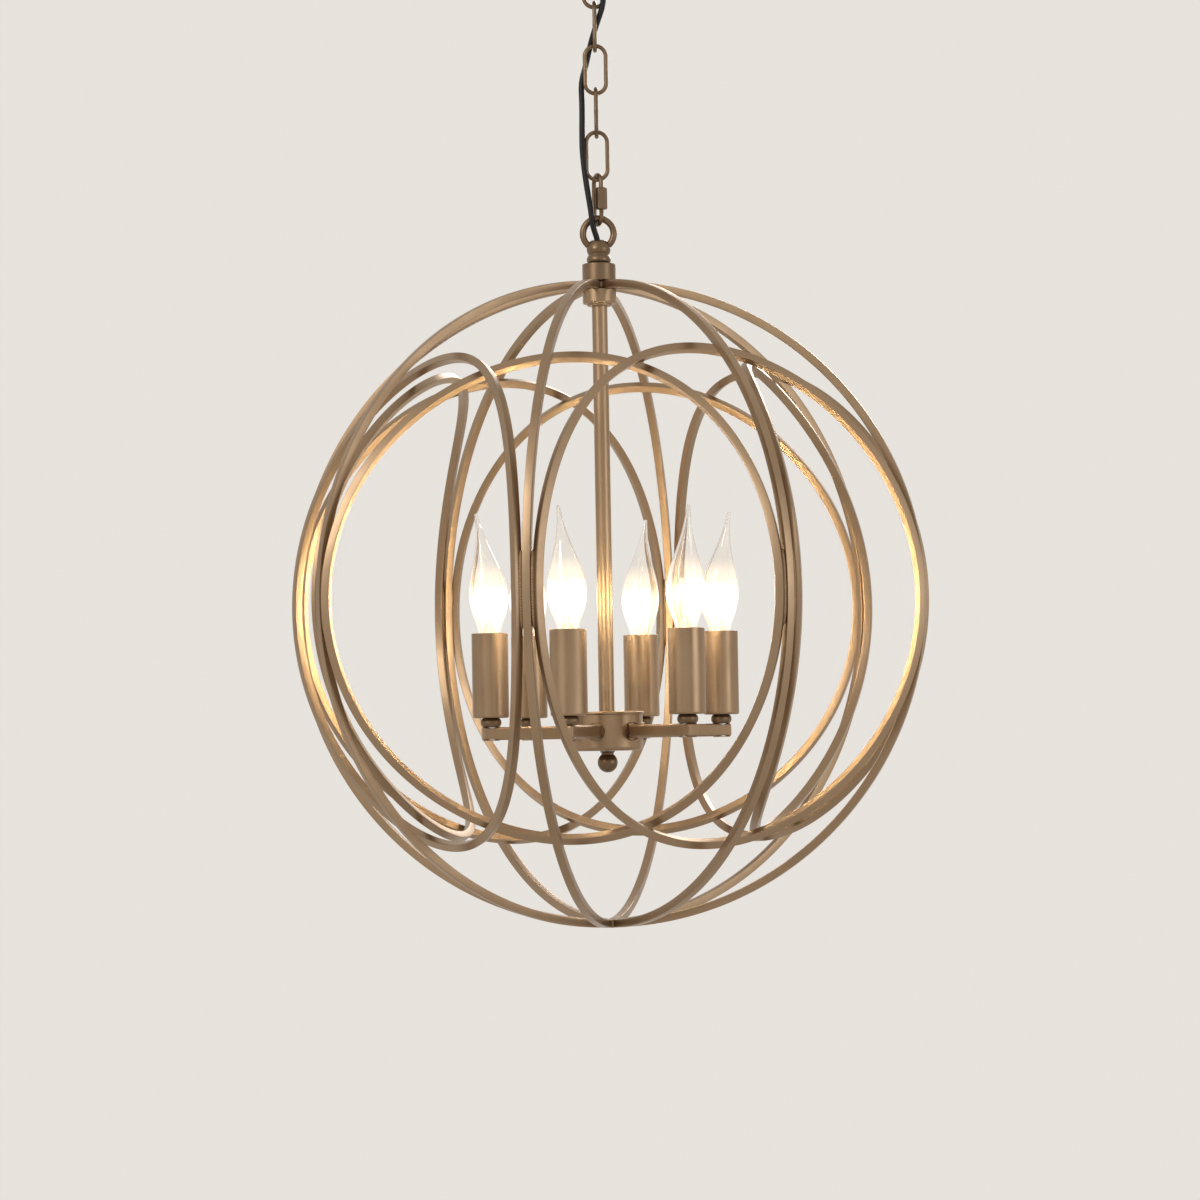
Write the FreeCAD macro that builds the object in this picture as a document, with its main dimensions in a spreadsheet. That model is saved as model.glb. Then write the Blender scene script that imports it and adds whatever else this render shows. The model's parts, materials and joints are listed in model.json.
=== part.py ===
import FreeCAD, Part
import math
import os
import re
import Sketcher

# Orb chandelier: a hollow ball of square bar hangs on a short chain from a ceiling canopy.
# Inside the ball a stem carries a drum with six arms, and each arm carries a candle cup with a bulb.
# Millimetres, +Z up. The origin is on the ceiling, in the middle of the mounting bracket.
# Azimuth 0 faces -Y, the side that looks into the room, and turns towards +X.

UP = FreeCAD.Vector(0, 0, 1)
ALONG_X = FreeCAD.Rotation(FreeCAD.Vector(0, 1, 0), 90)
ALONG_Y = FreeCAD.Rotation(FreeCAD.Vector(1, 0, 0), -90)

SIZES = {
    # the ball
    "ball_radius": 247,        # middle of a rib's bar
    "bar_side": 6.3,           # side of the square bar of ribs and hoops
    "rib_angle": -12.8,        # azimuth of the first rib, degrees
    "hub_flat": 7.8,           # axis to a flat of the two hubs that the ribs butt against
    "weld_gap": 0.05,          # left between a hoop's edge and the rib that it is welded to
    # the hoops: outer ones lie over the inner ones where they cross
    "outer_rise": 14.8,        # half height of an outer hoop, more than its half width
    "outer_tuck": 44,          # how far its top and bottom lean in from its sides
    "inner_rise": 9.8,
    "inner_tuck": 62,
    # ceiling fitting
    "bracket_end": 2.5,        # metal left past each screw slot
    "bracket_wide": 20,
    "bracket_thick": 2,
    "slot_spread": 79.5,       # between the middles of the two screw slots
    "slot_long": 24,
    "slot_wide": 5,
    "canopy_radius": 65,
    "canopy_deep": 28,
    "canopy_wall": 1.2,
    "canopy_hole": 13.5,       # radius, lets the loop and the chain through
    "canopy_side": 5,          # height of the upright rim at the ceiling
    "canopy_slope": 12,        # ceiling to the foot of the sloping part
    "canopy_step": 9,          # rim to the foot of the sloping part
    "canopy_dish": 16,         # hole to the edge of the flat middle
    "canopy_lip": 4,           # width of the turn between the flat middle and the dish
    "canopy_fall": 2,          # the flat middle stands this far below the dish
    "canopy_gap": 0.3,         # canopy to its ring nut
    "nipple_radius": 5,
    "nipple_bore": 3.4,
    "collar_radius": 13.2,     # body of the screw collar loop, fits the canopy hole
    "collar_tall": 12,
    "collar_seat": 3,          # collar's top above the canopy's floor
    "collar_crown": 4,         # metal under the collar's thread
    "cord_way": 7.5,           # axis to the hole that lets the cord out of the collar
    "ring_nut_radius": 17,
    "ring_nut_tall": 5,
    "ceiling_loop_radius": 10,
    "ceiling_loop_wire": 4.5,
    # chain and quick link
    "chain_wire": 3.2,
    "chain_long": 40.5,        # outside length of a link
    "chain_wide": 19.5,
    "chain_count": 5,
    "hang_gap": 0.3,           # between two links where one hangs in the other
    "quick_wire": 3.5,
    "quick_long": 42,
    "quick_wide": 17,
    "quick_angle": 24,         # the quick link hangs turned by this, degrees
    "quick_gap": 3.6,          # opening in the leg, under the sleeve nut
    "quick_gap_low": 8.2,      # its lower end, below the link's middle
    "sleeve_tall": 17,
    "sleeve_flats": 8,
    "sleeve_fit": 0.05,
    # hanging loop, neck and collars
    "loop_radius": 11.9,
    "loop_wire": 5.2,
    "loop_rise": 8.05,         # upper bead to the middle of the loop
    "bead_radius": 9.5,
    "bead_gap": 1,
    "upper_bead_tall": 8.5,
    "lower_bead_tall": 6.3,
    "collar_round": 13,        # radius of the collars above and below the ribs
    "upper_collar_tall": 13.5,
    "lower_collar_tall": 11,
    "collar_lip": 9.5,
    "collar_lip_tall": 1.6,
    "cord_bore": 2.9,
    "cord_wide": 4.5,
    "cord_out": 11,            # how far the cord bows out to the left of the chain
    "cord_front": 5,           # and how far it passes in front of it or behind it
    # stem and hub
    "stem_radius": 6,
    "stem_bore": 4.6,
    "stem_fit": 0.05,
    "drum_above": -114.2,      # underside of the drum, from the middle of the ball
    "drum_radius": 27.5,
    "drum_tall": 28,
    "drum_wall": 1.4,
    "drum_round": 2.5,
    "lid_radius": 28.6,
    "lid_thick": 2.2,
    "finial_radius": 7.75,
    "finial_neck": 5.7,
    "finial_drop": 9,          # drum's underside to the middle of the ball
    # arms, cups and lamps
    "arm_angle": -18,          # azimuth of the first arm, degrees
    "arm_count": 6,
    "arm_wide": 10,
    "arm_above": -99.5,        # middle of an arm, from the middle of the ball
    "arm_past": 7,             # arm's end beyond the cup's axis
    "arm_round": 1.6,
    "boss_radius": 7,
    "boss_long": 5,
    "boss_seat": 1.5,          # how far the boss starts inside the drum's outline, before it is cut
    "cup_circle": 91,          # stem to the axis of a cup
    "cup_radius": 14,
    "cup_tall": 65,
    "cup_wall": 1.1,
    "cup_floor": 2,
    "spacer_radius": 8,
    "spacer_tall": 7,
    "tube_radius": 4.9,        # short threaded tube through arm, spacer and cup
    "tube_bore": 3.3,
    "tube_fit": 0.1,
    "nut_flats": 14,
    "nut_tall": 3,
    "tube_end": 1,             # tube past its nut and past the cup's floor
    "holder_radius": 11,
    "holder_low": 1.3,         # holder's top below the cup's mouth
    "holder_gap": 0.2,
    "holder_bore": 7.2,
    "holder_deep": 27,
    "lamp_gap": 0.3,           # glass above the cup's mouth
    "lamp_base": 6.9,
    "lamp_base_tall": 25,
    "lamp_neck": 8.2,
    "lamp_radius": 17.5,
    "lamp_tall": 92,           # glass, from the cup's mouth to the tip
    "lamp_bend": 9,            # how far the tip leans out
    "lamp_angle": -20,         # azimuth that the tips lean to, from their own arm, degrees
}

doc = FreeCAD.newDocument("OrbChandelier")
sheet = doc.addObject("Spreadsheet::Sheet", "Size")
for row, (alias, value) in enumerate(SIZES.items(), start=1):
    sheet.set("A%d" % row, alias)
    sheet.set("B%d" % row, str(value))
    sheet.setAlias("B%d" % row, alias)
doc.recompute()

WORDS = re.compile(r"\b(%s)\b" % "|".join(SIZES))
nodes = []


def rule(text):
    """An expression in the sheet's own words."""
    return WORDS.sub(r"Size.\1", text)


def size(alias):
    return float(sheet.get(alias))


def value(text):
    return float(sheet.evalExpression(rule(text)))


def bind(thing, **rules):
    for prop, text in rules.items():
        thing.setExpression(prop.replace("__", "."), rule(text))


def place(thing, x="0", y="0", z="0", turn=None):
    if turn is not None:
        thing.Placement = FreeCAD.Placement(FreeCAD.Vector(), turn)
    bind(thing, Placement__Base__x=x, Placement__Base__y=y, Placement__Base__z=z)
    return thing


def about_z(degrees):
    return FreeCAD.Rotation(UP, degrees)


def facing(azimuth):
    """Turns a piece that was made pointing along +X to an azimuth."""
    return about_z(azimuth - 90)


def node(thing, label):
    thing.Label = label
    nodes.append(thing)
    return thing


def cylinder(radius, height, x="0", y="0", z="0", turn=None):
    thing = doc.addObject("Part::Cylinder", "Cylinder")
    bind(thing, Radius=radius, Height=height)
    return place(thing, x, y, z, turn)


def box(long, wide, tall, x="0", y="0", z="0"):
    thing = doc.addObject("Part::Box", "Box")
    bind(thing, Length=long, Width=wide, Height=tall)
    return place(thing, x, y, z)


def torus(ring, wire, x="0", y="0", z="0", turn=None, sweep=360):
    thing = doc.addObject("Part::Torus", "Torus")
    bind(thing, Radius1=ring, Radius2=wire)
    thing.Angle3 = sweep
    return place(thing, x, y, z, turn)


def sphere(radius, x="0", y="0", z="0"):
    thing = doc.addObject("Part::Sphere", "Sphere")
    bind(thing, Radius=radius)
    return place(thing, x, y, z)


def hexagon(flats, tall, z="0"):
    thing = doc.addObject("Part::Prism", "Prism")
    thing.Polygon = 6
    bind(thing, Circumradius="%s / 2 / cos(30)" % flats, Height=tall)
    return place(thing, z=z)


def fuse(*things):
    whole = doc.addObject("Part::MultiFuse", "Fuse")
    whole.Shapes = list(things)
    return whole


def cut(base, *tools):
    tool = tools[0] if len(tools) == 1 else fuse(*tools)
    whole = doc.addObject("Part::Cut", "Cut")
    whole.Base = base
    whole.Tool = tool
    return whole


def common(first, second):
    whole = doc.addObject("Part::Common", "Common")
    whole.Base = first
    whole.Tool = second
    return whole


def group(things):
    whole = doc.addObject("Part::Compound", "Group")
    whole.Links = things
    return whole


def plane_of(body, role):
    return next(p for p in body.Origin.OriginFeatures if p.Role == role)


def sketch_on(body, role, name):
    sketch = body.newObject("Sketcher::SketchObject", name)
    sketch.AttachmentSupport = (plane_of(body, role), [""])
    sketch.MapMode = "FlatFace"
    return sketch


def pin_down(sketch, edge, end, x, y):
    """Fixes one end of an edge at a place given by two rules."""
    for kind, text in (("DistanceX", x), ("DistanceY", y)):
        if text is None:
            continue
        number = sketch.addConstraint(Sketcher.Constraint(kind, -1, 1, edge, end, 1.0))
        sketch.setExpression("Constraints[%d]" % number, rule(text))


def polygon(sketch, corners):
    """A closed outline of straight edges, each corner given by two rules."""
    count = len(corners)
    steps = [2 * math.pi * k / count for k in range(count + 1)]
    rough = [FreeCAD.Vector(20 + 5 * math.cos(a), 20 + 5 * math.sin(a), 0) for a in steps]
    for k in range(count):
        sketch.addGeometry(Part.LineSegment(rough[k], rough[k + 1]))
    for k in range(count):
        sketch.addConstraint(Sketcher.Constraint("Coincident", k, 2, (k + 1) % count, 1))
    for k, (x, y) in enumerate(corners):
        pin_down(sketch, k, 1, x, y)


def turned(label, corners, z, x="0", y="0", rounds=()):
    """A turned piece: its half section is an outline of radius and height."""
    body = doc.addObject("PartDesign::Body", label)
    sketch = sketch_on(body, "XZ_Plane", label + "_section")
    polygon(sketch, corners)
    turn = body.newObject("PartDesign::Revolution", label + "_turn")
    turn.Profile = sketch
    turn.ReferenceAxis = (sketch, ["V_Axis"])
    turn.Angle = 360
    doc.recompute()
    for radius, chosen in rounds:
        edges = ["Edge%d" % (k + 1) for k, e in enumerate(turn.Shape.Edges) if chosen(e)]
        fillet = body.newObject("PartDesign::Fillet", label + "_round")
        fillet.Base = (turn, edges)
        bind(fillet, Radius=radius)
        body.Tip = fillet
        doc.recompute()
        turn = fillet
    place(body, x, y, z)
    return body


def ring_edge(radius, height):
    """Chooses the round edge of a turned piece at a radius and height."""
    def chosen(edge):
        if not isinstance(edge.Curve, Part.Circle):
            return False
        centre = edge.Curve.Center
        return abs(edge.Curve.Radius - radius) < 0.01 and abs(centre.z - height) < 0.01
    return chosen


# --- ceiling fitting ---

def bracket():
    long = "(slot_spread + slot_long + 2 * bracket_end)"
    strap = box(long, "bracket_wide", "bracket_thick",
                "-%s / 2" % long, "-bracket_wide / 2", "-bracket_thick")
    low, deep = "-2 * bracket_thick", "3 * bracket_thick"
    tools = [cylinder("nipple_radius + tube_fit", deep, z=low)]
    straight = "(slot_long - slot_wide)"
    for side in (-1, 1):
        middle = "%d * slot_spread / 2" % side
        tools.append(box(straight, "slot_wide", deep,
                         "%s - %s / 2" % (middle, straight), "-slot_wide / 2", low))
        for end in (-1, 1):
            tools.append(cylinder("slot_wide / 2", deep, "%s + %d * %s / 2" % (middle, end, straight), z=low))
    node(cut(strap, *tools), "mounting_bracket")


def ceiling_nipple():
    tube = cylinder("nipple_radius", "canopy_deep - tube_end", z="-(canopy_deep - tube_end)")
    bore = cylinder("nipple_bore", "2 * canopy_deep", z="-1.5 * canopy_deep")
    nut = hexagon("nut_flats", "nut_tall", z="-bracket_thick - nut_tall")
    hole = cylinder("nipple_radius + tube_fit", "3 * nut_tall", z="-bracket_thick - 2 * nut_tall")
    node(group([cut(tube, bore), cut(nut, hole)]), "ceiling_nipple")


def canopy():
    """A spun dish, drawn from its lowest face up: flat middle, shallow dish, slope and upright rim."""
    rim, wall, hole = "canopy_radius", "canopy_wall", "canopy_hole"
    step = "(canopy_radius - canopy_step)"
    slope, side = "(canopy_deep - canopy_slope)", "(canopy_deep - canopy_side)"
    dish, flat = "(canopy_hole + canopy_dish)", "(canopy_hole + canopy_dish - canopy_lip)"
    corners = [
        (rim, "canopy_deep"), (rim, side), (step, slope), (dish, "canopy_fall"), (flat, "0"), (hole, "0"),
        (hole, wall), ("%s - %s / 3" % (flat, wall), wall),
        ("%s - %s / 3" % (dish, wall), "canopy_fall + " + wall),
        ("%s - %s" % (step, wall), "%s + %s" % (slope, wall)),
        ("%s - %s" % (rim, wall), "%s + %s / 2" % (side, wall)), ("%s - %s" % (rim, wall), "canopy_deep"),
    ]
    node(turned("canopy", corners, "-canopy_deep"), "canopy")


# heights of the hanging pieces, worked down from the ceiling
COLLAR_LOW = "(-canopy_deep + canopy_wall + collar_seat - collar_tall)"
LOOP_Z = "(%s - ceiling_loop_radius - ceiling_loop_wire / 2)" % COLLAR_LOW
CHAIN_TOP = "(%s - ceiling_loop_radius + ceiling_loop_wire / 2 + hang_gap + chain_wire / 2)" % LOOP_Z
PITCH = "(chain_long - 2 * chain_wire - hang_gap)"
CHAIN_Z = "(%s - (chain_count - 1) * %s - (chain_long - chain_wire) / 2)" % (CHAIN_TOP, PITCH)
CHAIN_LOW = "(%s - (chain_long - chain_wire) / 2)" % CHAIN_Z
QUICK_TOP = "(%s + chain_wire / 2 + hang_gap + quick_wire / 2)" % CHAIN_LOW
QUICK_Z = "(%s - (quick_long - quick_wire) / 2)" % QUICK_TOP
QUICK_LOW = "(%s - (quick_long - quick_wire) / 2)" % QUICK_Z
RING_Z = "(%s + quick_wire / 2 + hang_gap + loop_wire / 2 - loop_radius)" % QUICK_LOW
FOOT = "(%s - loop_rise - upper_bead_tall - bead_gap - lower_bead_tall)" % RING_Z
RIB_TOP = "(%s - upper_collar_tall)" % FOOT
BALL = "(%s - bar_side / 2 - ball_radius)" % RIB_TOP
INSIDE = "(ball_radius - bar_side / 2)"
RIB_UNDER = "(%s + sqrt(%s * %s - collar_round * collar_round) - weld_gap)" % (BALL, INSIDE, INSIDE)
DRUM = "(%s + drum_above)" % BALL
LID_TOP = "(%s + drum_tall + lid_thick)" % DRUM
ARM = "(%s + arm_above)" % BALL
ARM_TOP = "(%s + arm_wide / 2)" % ARM
CUP = "(%s + spacer_tall)" % ARM_TOP
MOUTH = "(%s + cup_tall)" % CUP


def ceiling_loop():
    """The screw collar with its loop, which the canopy and the chain hang from."""
    body = cylinder("collar_radius", "collar_tall", z=COLLAR_LOW)
    neck = cylinder("ceiling_loop_wire * 0.75", "ceiling_loop_wire",
                    z="%s - ceiling_loop_wire / 2" % COLLAR_LOW)
    ring = torus("ceiling_loop_radius", "ceiling_loop_wire / 2", z=LOOP_Z, turn=ALONG_X)
    whole = fuse(body, neck, ring)
    bore = cylinder("nipple_radius + stem_fit", "collar_tall", z="%s + collar_crown" % COLLAR_LOW)
    way = cylinder("cord_bore", "2 * collar_tall", "-cord_way", z="%s - collar_tall / 2" % COLLAR_LOW)
    node(cut(whole, bore, way), "ceiling_loop")
    low = "(-canopy_deep - canopy_gap - ring_nut_tall)"
    nut = cylinder("ring_nut_radius", "ring_nut_tall", z=low)
    hole = cylinder("collar_radius + stem_fit", "3 * ring_nut_tall", z="%s - ring_nut_tall" % low)
    node(cut(nut, hole), "canopy_ring_nut")


def oval(long, wide, wire, z, facing_room):
    """A link of round wire. It lies in the XZ plane if it faces the room, else in the YZ plane."""
    ring = "((%s - %s) / 2)" % (wide, wire)
    straight = "(%s - %s)" % (long, wide)
    spin = FreeCAD.Rotation() if facing_room else about_z(90)
    top_turn = spin.multiply(FreeCAD.Rotation(FreeCAD.Vector(1, 0, 0), 90))
    low_turn = spin.multiply(FreeCAD.Rotation(FreeCAD.Vector(1, 0, 0), -90))
    pieces = [
        torus(ring, wire + " / 2", z="%s + %s / 2" % (z, straight), turn=top_turn, sweep=180),
        torus(ring, wire + " / 2", z="%s - %s / 2" % (z, straight), turn=low_turn, sweep=180),
    ]
    for side in (-1, 1):
        off = "%d * %s" % (side, ring)
        x, y = (off, "0") if facing_room else ("0", off)
        pieces.append(cylinder(wire + " / 2", straight, x, y, "%s - %s / 2" % (z, straight)))
    return fuse(*pieces)


def chain():
    count = int(size("chain_count"))
    for k in range(count):
        z = "(%s + %d * %s)" % (CHAIN_Z, count - 1 - k, PITCH)
        faces_room = (count - 1 - k) % 2 == 0
        node(oval("chain_long", "chain_wide", "chain_wire", z, faces_room), "chain_link_%d" % (k + 1))


def quick_link():
    """A link with an opening in its front leg, and the sleeve nut that closes it."""
    whole = oval("quick_long", "quick_wide", "quick_wire", "0", False)
    leg = "(-(quick_wide - quick_wire) / 2)"
    gap = cylinder("quick_wire", "quick_gap", y=leg, z="-quick_gap_low")
    turn = about_z(size("quick_angle"))
    node(place(cut(whole, gap), z=QUICK_Z, turn=turn), "quick_link")
    nut = place(hexagon("sleeve_flats", "sleeve_tall"), y=leg, z="-sleeve_tall / 2")
    hole = cylinder("quick_wire / 2 + sleeve_fit", "2 * sleeve_tall", y=leg, z="-sleeve_tall")
    node(place(cut(nut, hole), z=QUICK_Z, turn=turn), "sleeve_nut")


# --- hanging loop, collars, stem ---

def hanging_loop():
    low_bead = "(%s + lower_bead_tall / 2)" % FOOT
    high_bead = "(%s + lower_bead_tall + bead_gap + upper_bead_tall / 2)" % FOOT
    neck = "(%s - loop_radius - %s)" % (RING_Z, FOOT)
    pieces = [
        torus("loop_radius", "loop_wire / 2", z=RING_Z, turn=ALONG_Y),
        torus("bead_radius - lower_bead_tall / 2", "lower_bead_tall / 2", z=low_bead),
        torus("bead_radius - upper_bead_tall / 2", "upper_bead_tall / 2", z=high_bead),
        cylinder("bead_radius - lower_bead_tall / 2", neck, z=FOOT),
    ]
    bore = cylinder("cord_bore", "2 * " + neck, z="%s - %s / 2" % (FOOT, neck))
    node(cut(fuse(*pieces), bore), "hanging_loop")
    collar = cylinder("collar_round", "upper_collar_tall", z=RIB_TOP)
    hole = cylinder("stem_bore", "2 * upper_collar_tall", z=RIB_TOP + " - upper_collar_tall / 2")
    node(cut(collar, hole), "upper_collar")


def lower_collar():
    low = "(%s - lower_collar_tall)" % RIB_UNDER
    body = cylinder("collar_round", "lower_collar_tall", z=low)
    lip = cylinder("collar_lip", "collar_lip_tall", z=low + " - collar_lip_tall")
    hole = cylinder("stem_radius + stem_fit", "3 * lower_collar_tall", z=low + " - lower_collar_tall")
    node(cut(fuse(body, lip), hole), "lower_collar")


def stem():
    tall = "(%s - %s)" % (RIB_TOP, LID_TOP)
    tube = cylinder("stem_radius", tall, z=LID_TOP)
    bore = cylinder("stem_bore", "2 * " + tall, z="%s - %s / 2" % (LID_TOP, tall))
    node(cut(tube, bore), "stem")


# --- the ball: ribs between two hubs, and hoops welded to the ribs ---

def rib(k):
    """A bar bent to a half circle in an upright plane, square ends against the hubs."""
    body = doc.addObject("PartDesign::Body", "Rib")
    sketch = sketch_on(body, "XZ_Plane", "Rib_outline")
    limit = math.radians(85)
    for radius in (size("ball_radius") + size("bar_side") / 2, size("ball_radius") - size("bar_side") / 2):
        circle = Part.Circle(FreeCAD.Vector(), UP, radius)
        sketch.addGeometry(Part.ArcOfCircle(circle, -limit, limit))
    for end in (1, 2):
        a = sketch.getPoint(0, end)
        b = sketch.getPoint(1, end)
        sketch.addGeometry(Part.LineSegment(a, b))
    for line, end in ((2, 1), (3, 2)):
        sketch.addConstraint(Sketcher.Constraint("Coincident", 0, end, line, 1))
        sketch.addConstraint(Sketcher.Constraint("Coincident", 1, end, line, 2))
    for arc, sign in ((0, "+"), (1, "-")):
        sketch.addConstraint(Sketcher.Constraint("Coincident", arc, 3, -1, 1))
        number = sketch.addConstraint(Sketcher.Constraint("Radius", arc, 100.0))
        sketch.setDatum(number, size("ball_radius"))
        sketch.setExpression("Constraints[%d]" % number, rule("ball_radius %s bar_side / 2" % sign))
        for end in (1, 2):
            pin_down(sketch, arc, end, "hub_flat", None)
    pad = body.newObject("PartDesign::Pad", "Rib_bar")
    pad.Profile = sketch
    pad.Midplane = True
    bind(pad, Length="bar_side")
    place(body, z=BALL, turn=facing(size("rib_angle") + 45 * k))
    node(body, "rib_%d" % (k + 1))


def octagon_hub(z, bore):
    prism = doc.addObject("Part::Prism", "Octagon")
    prism.Polygon = 8
    bind(prism, Circumradius="hub_flat / cos(22.5)", Height="bar_side")
    place(prism, z=z, turn=about_z(size("rib_angle") + 22.5))
    whole = prism
    if bore:
        whole = cut(prism, cylinder("stem_radius + stem_fit", "3 * bar_side", z=z + " - bar_side"))
    return whole


# a hoop's side edge touches the rib: the bar's section stands cornerwise to the rib there
HOOP_OFF = "(bar_side / 2 + bar_side / sqrt(2) + weld_gap)"
HOOP_SIDE = "sqrt(ball_radius * ball_radius - %s * %s)" % (HOOP_OFF, HOOP_OFF)
HOOP_REACH = "((%s + %s) / sqrt(2))" % (HOOP_SIDE, HOOP_OFF)
HOOP_HALF = "((%s - %s) / sqrt(2))" % (HOOP_SIDE, HOOP_OFF)


def hoop(k, rise, tuck):
    """A flat oval of square bar, rolled over a level cylinder, so that its top and bottom lean in."""
    tall = "(%s + %s)" % (HOOP_HALF, rise)
    flat = FreeCAD.Rotation(FreeCAD.Vector(0, 1, 0), -90)
    walls = []
    for sign in ("+", "-"):
        oval_line = doc.addObject("Part::Ellipse", "Oval")
        bind(oval_line, MajorRadius="%s %s bar_side / 2" % (tall, sign),
             MinorRadius="%s %s bar_side / 2" % (HOOP_HALF, sign))
        oval_line.Placement = FreeCAD.Placement(FreeCAD.Vector(), flat)
        block = doc.addObject("Part::Extrusion", "Oval_block")
        block.Base = oval_line
        block.DirMode = "Custom"
        block.Dir = FreeCAD.Vector(1, 0, 0)
        bind(block, LengthFwd=HOOP_REACH + " + bar_side")
        block.Solid = True
        walls.append(block)
    bend = "((%s * %s + %s * %s) / (2 * %s))" % (tall, tall, tuck, tuck, tuck)
    rolls = []
    for sign in ("+", "-"):
        roll = cylinder("%s %s bar_side / 2" % (bend, sign), "2 * %s + 4 * bar_side" % HOOP_HALF,
                        "%s - %s" % (HOOP_REACH, bend), "-%s - 2 * bar_side" % HOOP_HALF, turn=ALONG_Y)
        rolls.append(roll)
    whole = common(cut(*walls), cut(*rolls))
    place(whole, z=BALL, turn=facing(size("rib_angle") + 45 * k))
    node(whole, "hoop_%d" % (k + 1))


def ball():
    for k in range(8):
        rib(k)
    for k in range(8):
        if k % 2:
            hoop(k, "outer_rise", "outer_tuck")
        else:
            hoop(k, "inner_rise", "inner_tuck")
    top = octagon_hub("%s + ball_radius - bar_side / 2" % BALL, True)
    bottom = octagon_hub("%s - ball_radius - bar_side / 2" % BALL, False)
    node(group([top, bottom]), "rib_hubs")


# --- drum, arms, cups, lamps ---

def drum():
    wall = "drum_wall"
    corners = [
        ("nipple_radius + tube_fit", "0"), ("drum_radius", "0"), ("drum_radius", "drum_tall"),
        ("drum_radius - " + wall, "drum_tall"), ("drum_radius - " + wall, wall),
        ("nipple_radius + tube_fit", wall),
    ]
    bottom = ring_edge(size("drum_radius"), 0)
    node(turned("drum", corners, DRUM, rounds=[("drum_round", bottom)]), "drum")
    lid = cylinder("lid_radius", "lid_thick", z="%s + drum_tall" % DRUM)
    hole = cylinder("nipple_radius + tube_fit", "3 * lid_thick", z="%s + drum_tall - lid_thick" % DRUM)
    node(cut(lid, hole), "drum_lid")
    neck_low = "(%s - finial_drop)" % DRUM
    ball_end = sphere("finial_radius", z=neck_low)
    neck = cylinder("finial_neck", "finial_drop", z=neck_low)
    node(fuse(ball_end, neck), "finial")
    node(cylinder("nipple_radius", "drum_tall + lid_thick", z=DRUM), "hub_rod")


def azimuth_of(k):
    return size("arm_angle") + 60 * k


def out_from_stem(k, distance="cup_circle"):
    angle = "(arm_angle + %d)" % (60 * k)
    return "%s * sin(%s)" % (distance, angle), "-%s * cos(%s)" % (distance, angle)


def arm(k):
    beam = box("cup_circle + arm_past - drum_radius", "arm_wide", "arm_wide",
               "drum_radius", "-arm_wide / 2", "-arm_wide / 2")
    rounded = doc.addObject("Part::Fillet", "Arm_rounded")
    rounded.Base = beam
    doc.recompute()
    radius = size("arm_round")
    rounded.Edges = [(n + 1, radius, radius) for n in range(12)]
    boss = cylinder("boss_radius", "boss_long", "drum_radius - boss_seat", turn=ALONG_X)
    hole = cylinder("tube_radius + tube_fit", "2 * arm_wide", "cup_circle", z="-arm_wide")
    drum_space = cylinder("drum_radius", "3 * arm_wide", z="-1.5 * arm_wide")
    whole = cut(fuse(rounded, boss), hole, drum_space)
    place(whole, z=ARM, turn=facing(azimuth_of(k)))
    node(whole, "arm_%d" % (k + 1))


def cup(k):
    x, y = out_from_stem(k)
    corners = [
        ("tube_radius + tube_fit", "0"), ("cup_radius", "0"), ("cup_radius", "cup_tall"),
        ("cup_radius - cup_wall", "cup_tall"), ("cup_radius - cup_wall", "cup_floor"),
        ("tube_radius + tube_fit", "cup_floor"),
    ]
    node(turned("Cup", corners, CUP, x, y), "candle_cup_%d" % (k + 1))


def small_parts():
    """Under and inside each cup: bead spacer, threaded tube, nut and lamp holder."""
    spacers, tubes, nuts, holders = [], [], [], []
    tube_low = "(%s - arm_wide / 2 - nut_tall - tube_end)" % ARM
    tube_long = "(%s + cup_floor + nut_tall - %s)" % (CUP, tube_low)
    foot = "(%s + cup_floor + holder_gap)" % CUP
    for k in range(int(size("arm_count"))):
        x, y = out_from_stem(k)
        bead = torus("spacer_radius - spacer_tall / 2", "spacer_tall / 2",
                     x, y, "%s + spacer_tall / 2" % ARM_TOP)
        way = cylinder("tube_radius + tube_fit", "2 * spacer_tall", x, y, "%s - spacer_tall / 2" % ARM_TOP)
        spacers.append(cut(bead, way))
        tube = cylinder("tube_radius", tube_long, x, y, tube_low)
        bore = cylinder("tube_bore", tube_long + " + 2 * tube_end", x, y, tube_low + " - tube_end")
        tubes.append(cut(tube, bore))
        nut = place(hexagon("nut_flats", "nut_tall"), x, y, "%s - arm_wide / 2 - nut_tall" % ARM)
        thread = cylinder("tube_radius + tube_fit", "3 * nut_tall", x, y, tube_low + " - nut_tall")
        nuts.append(cut(nut, thread))
        holder = cylinder("holder_radius", "%s - holder_low - %s" % (MOUTH, foot), x, y, foot)
        socket = cylinder("holder_bore", "2 * holder_deep", x, y, "%s - holder_deep" % MOUTH)
        seat = cylinder("tube_radius + tube_fit", "2 * (nut_tall + tube_end)",
                        x, y, foot + " - nut_tall - tube_end")
        holders.append(cut(holder, socket, seat))
    node(group(spacers), "cup_spacers")
    node(group(tubes + nuts), "arm_tubes_and_nuts")
    node(group(holders), "lamp_holders")


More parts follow.
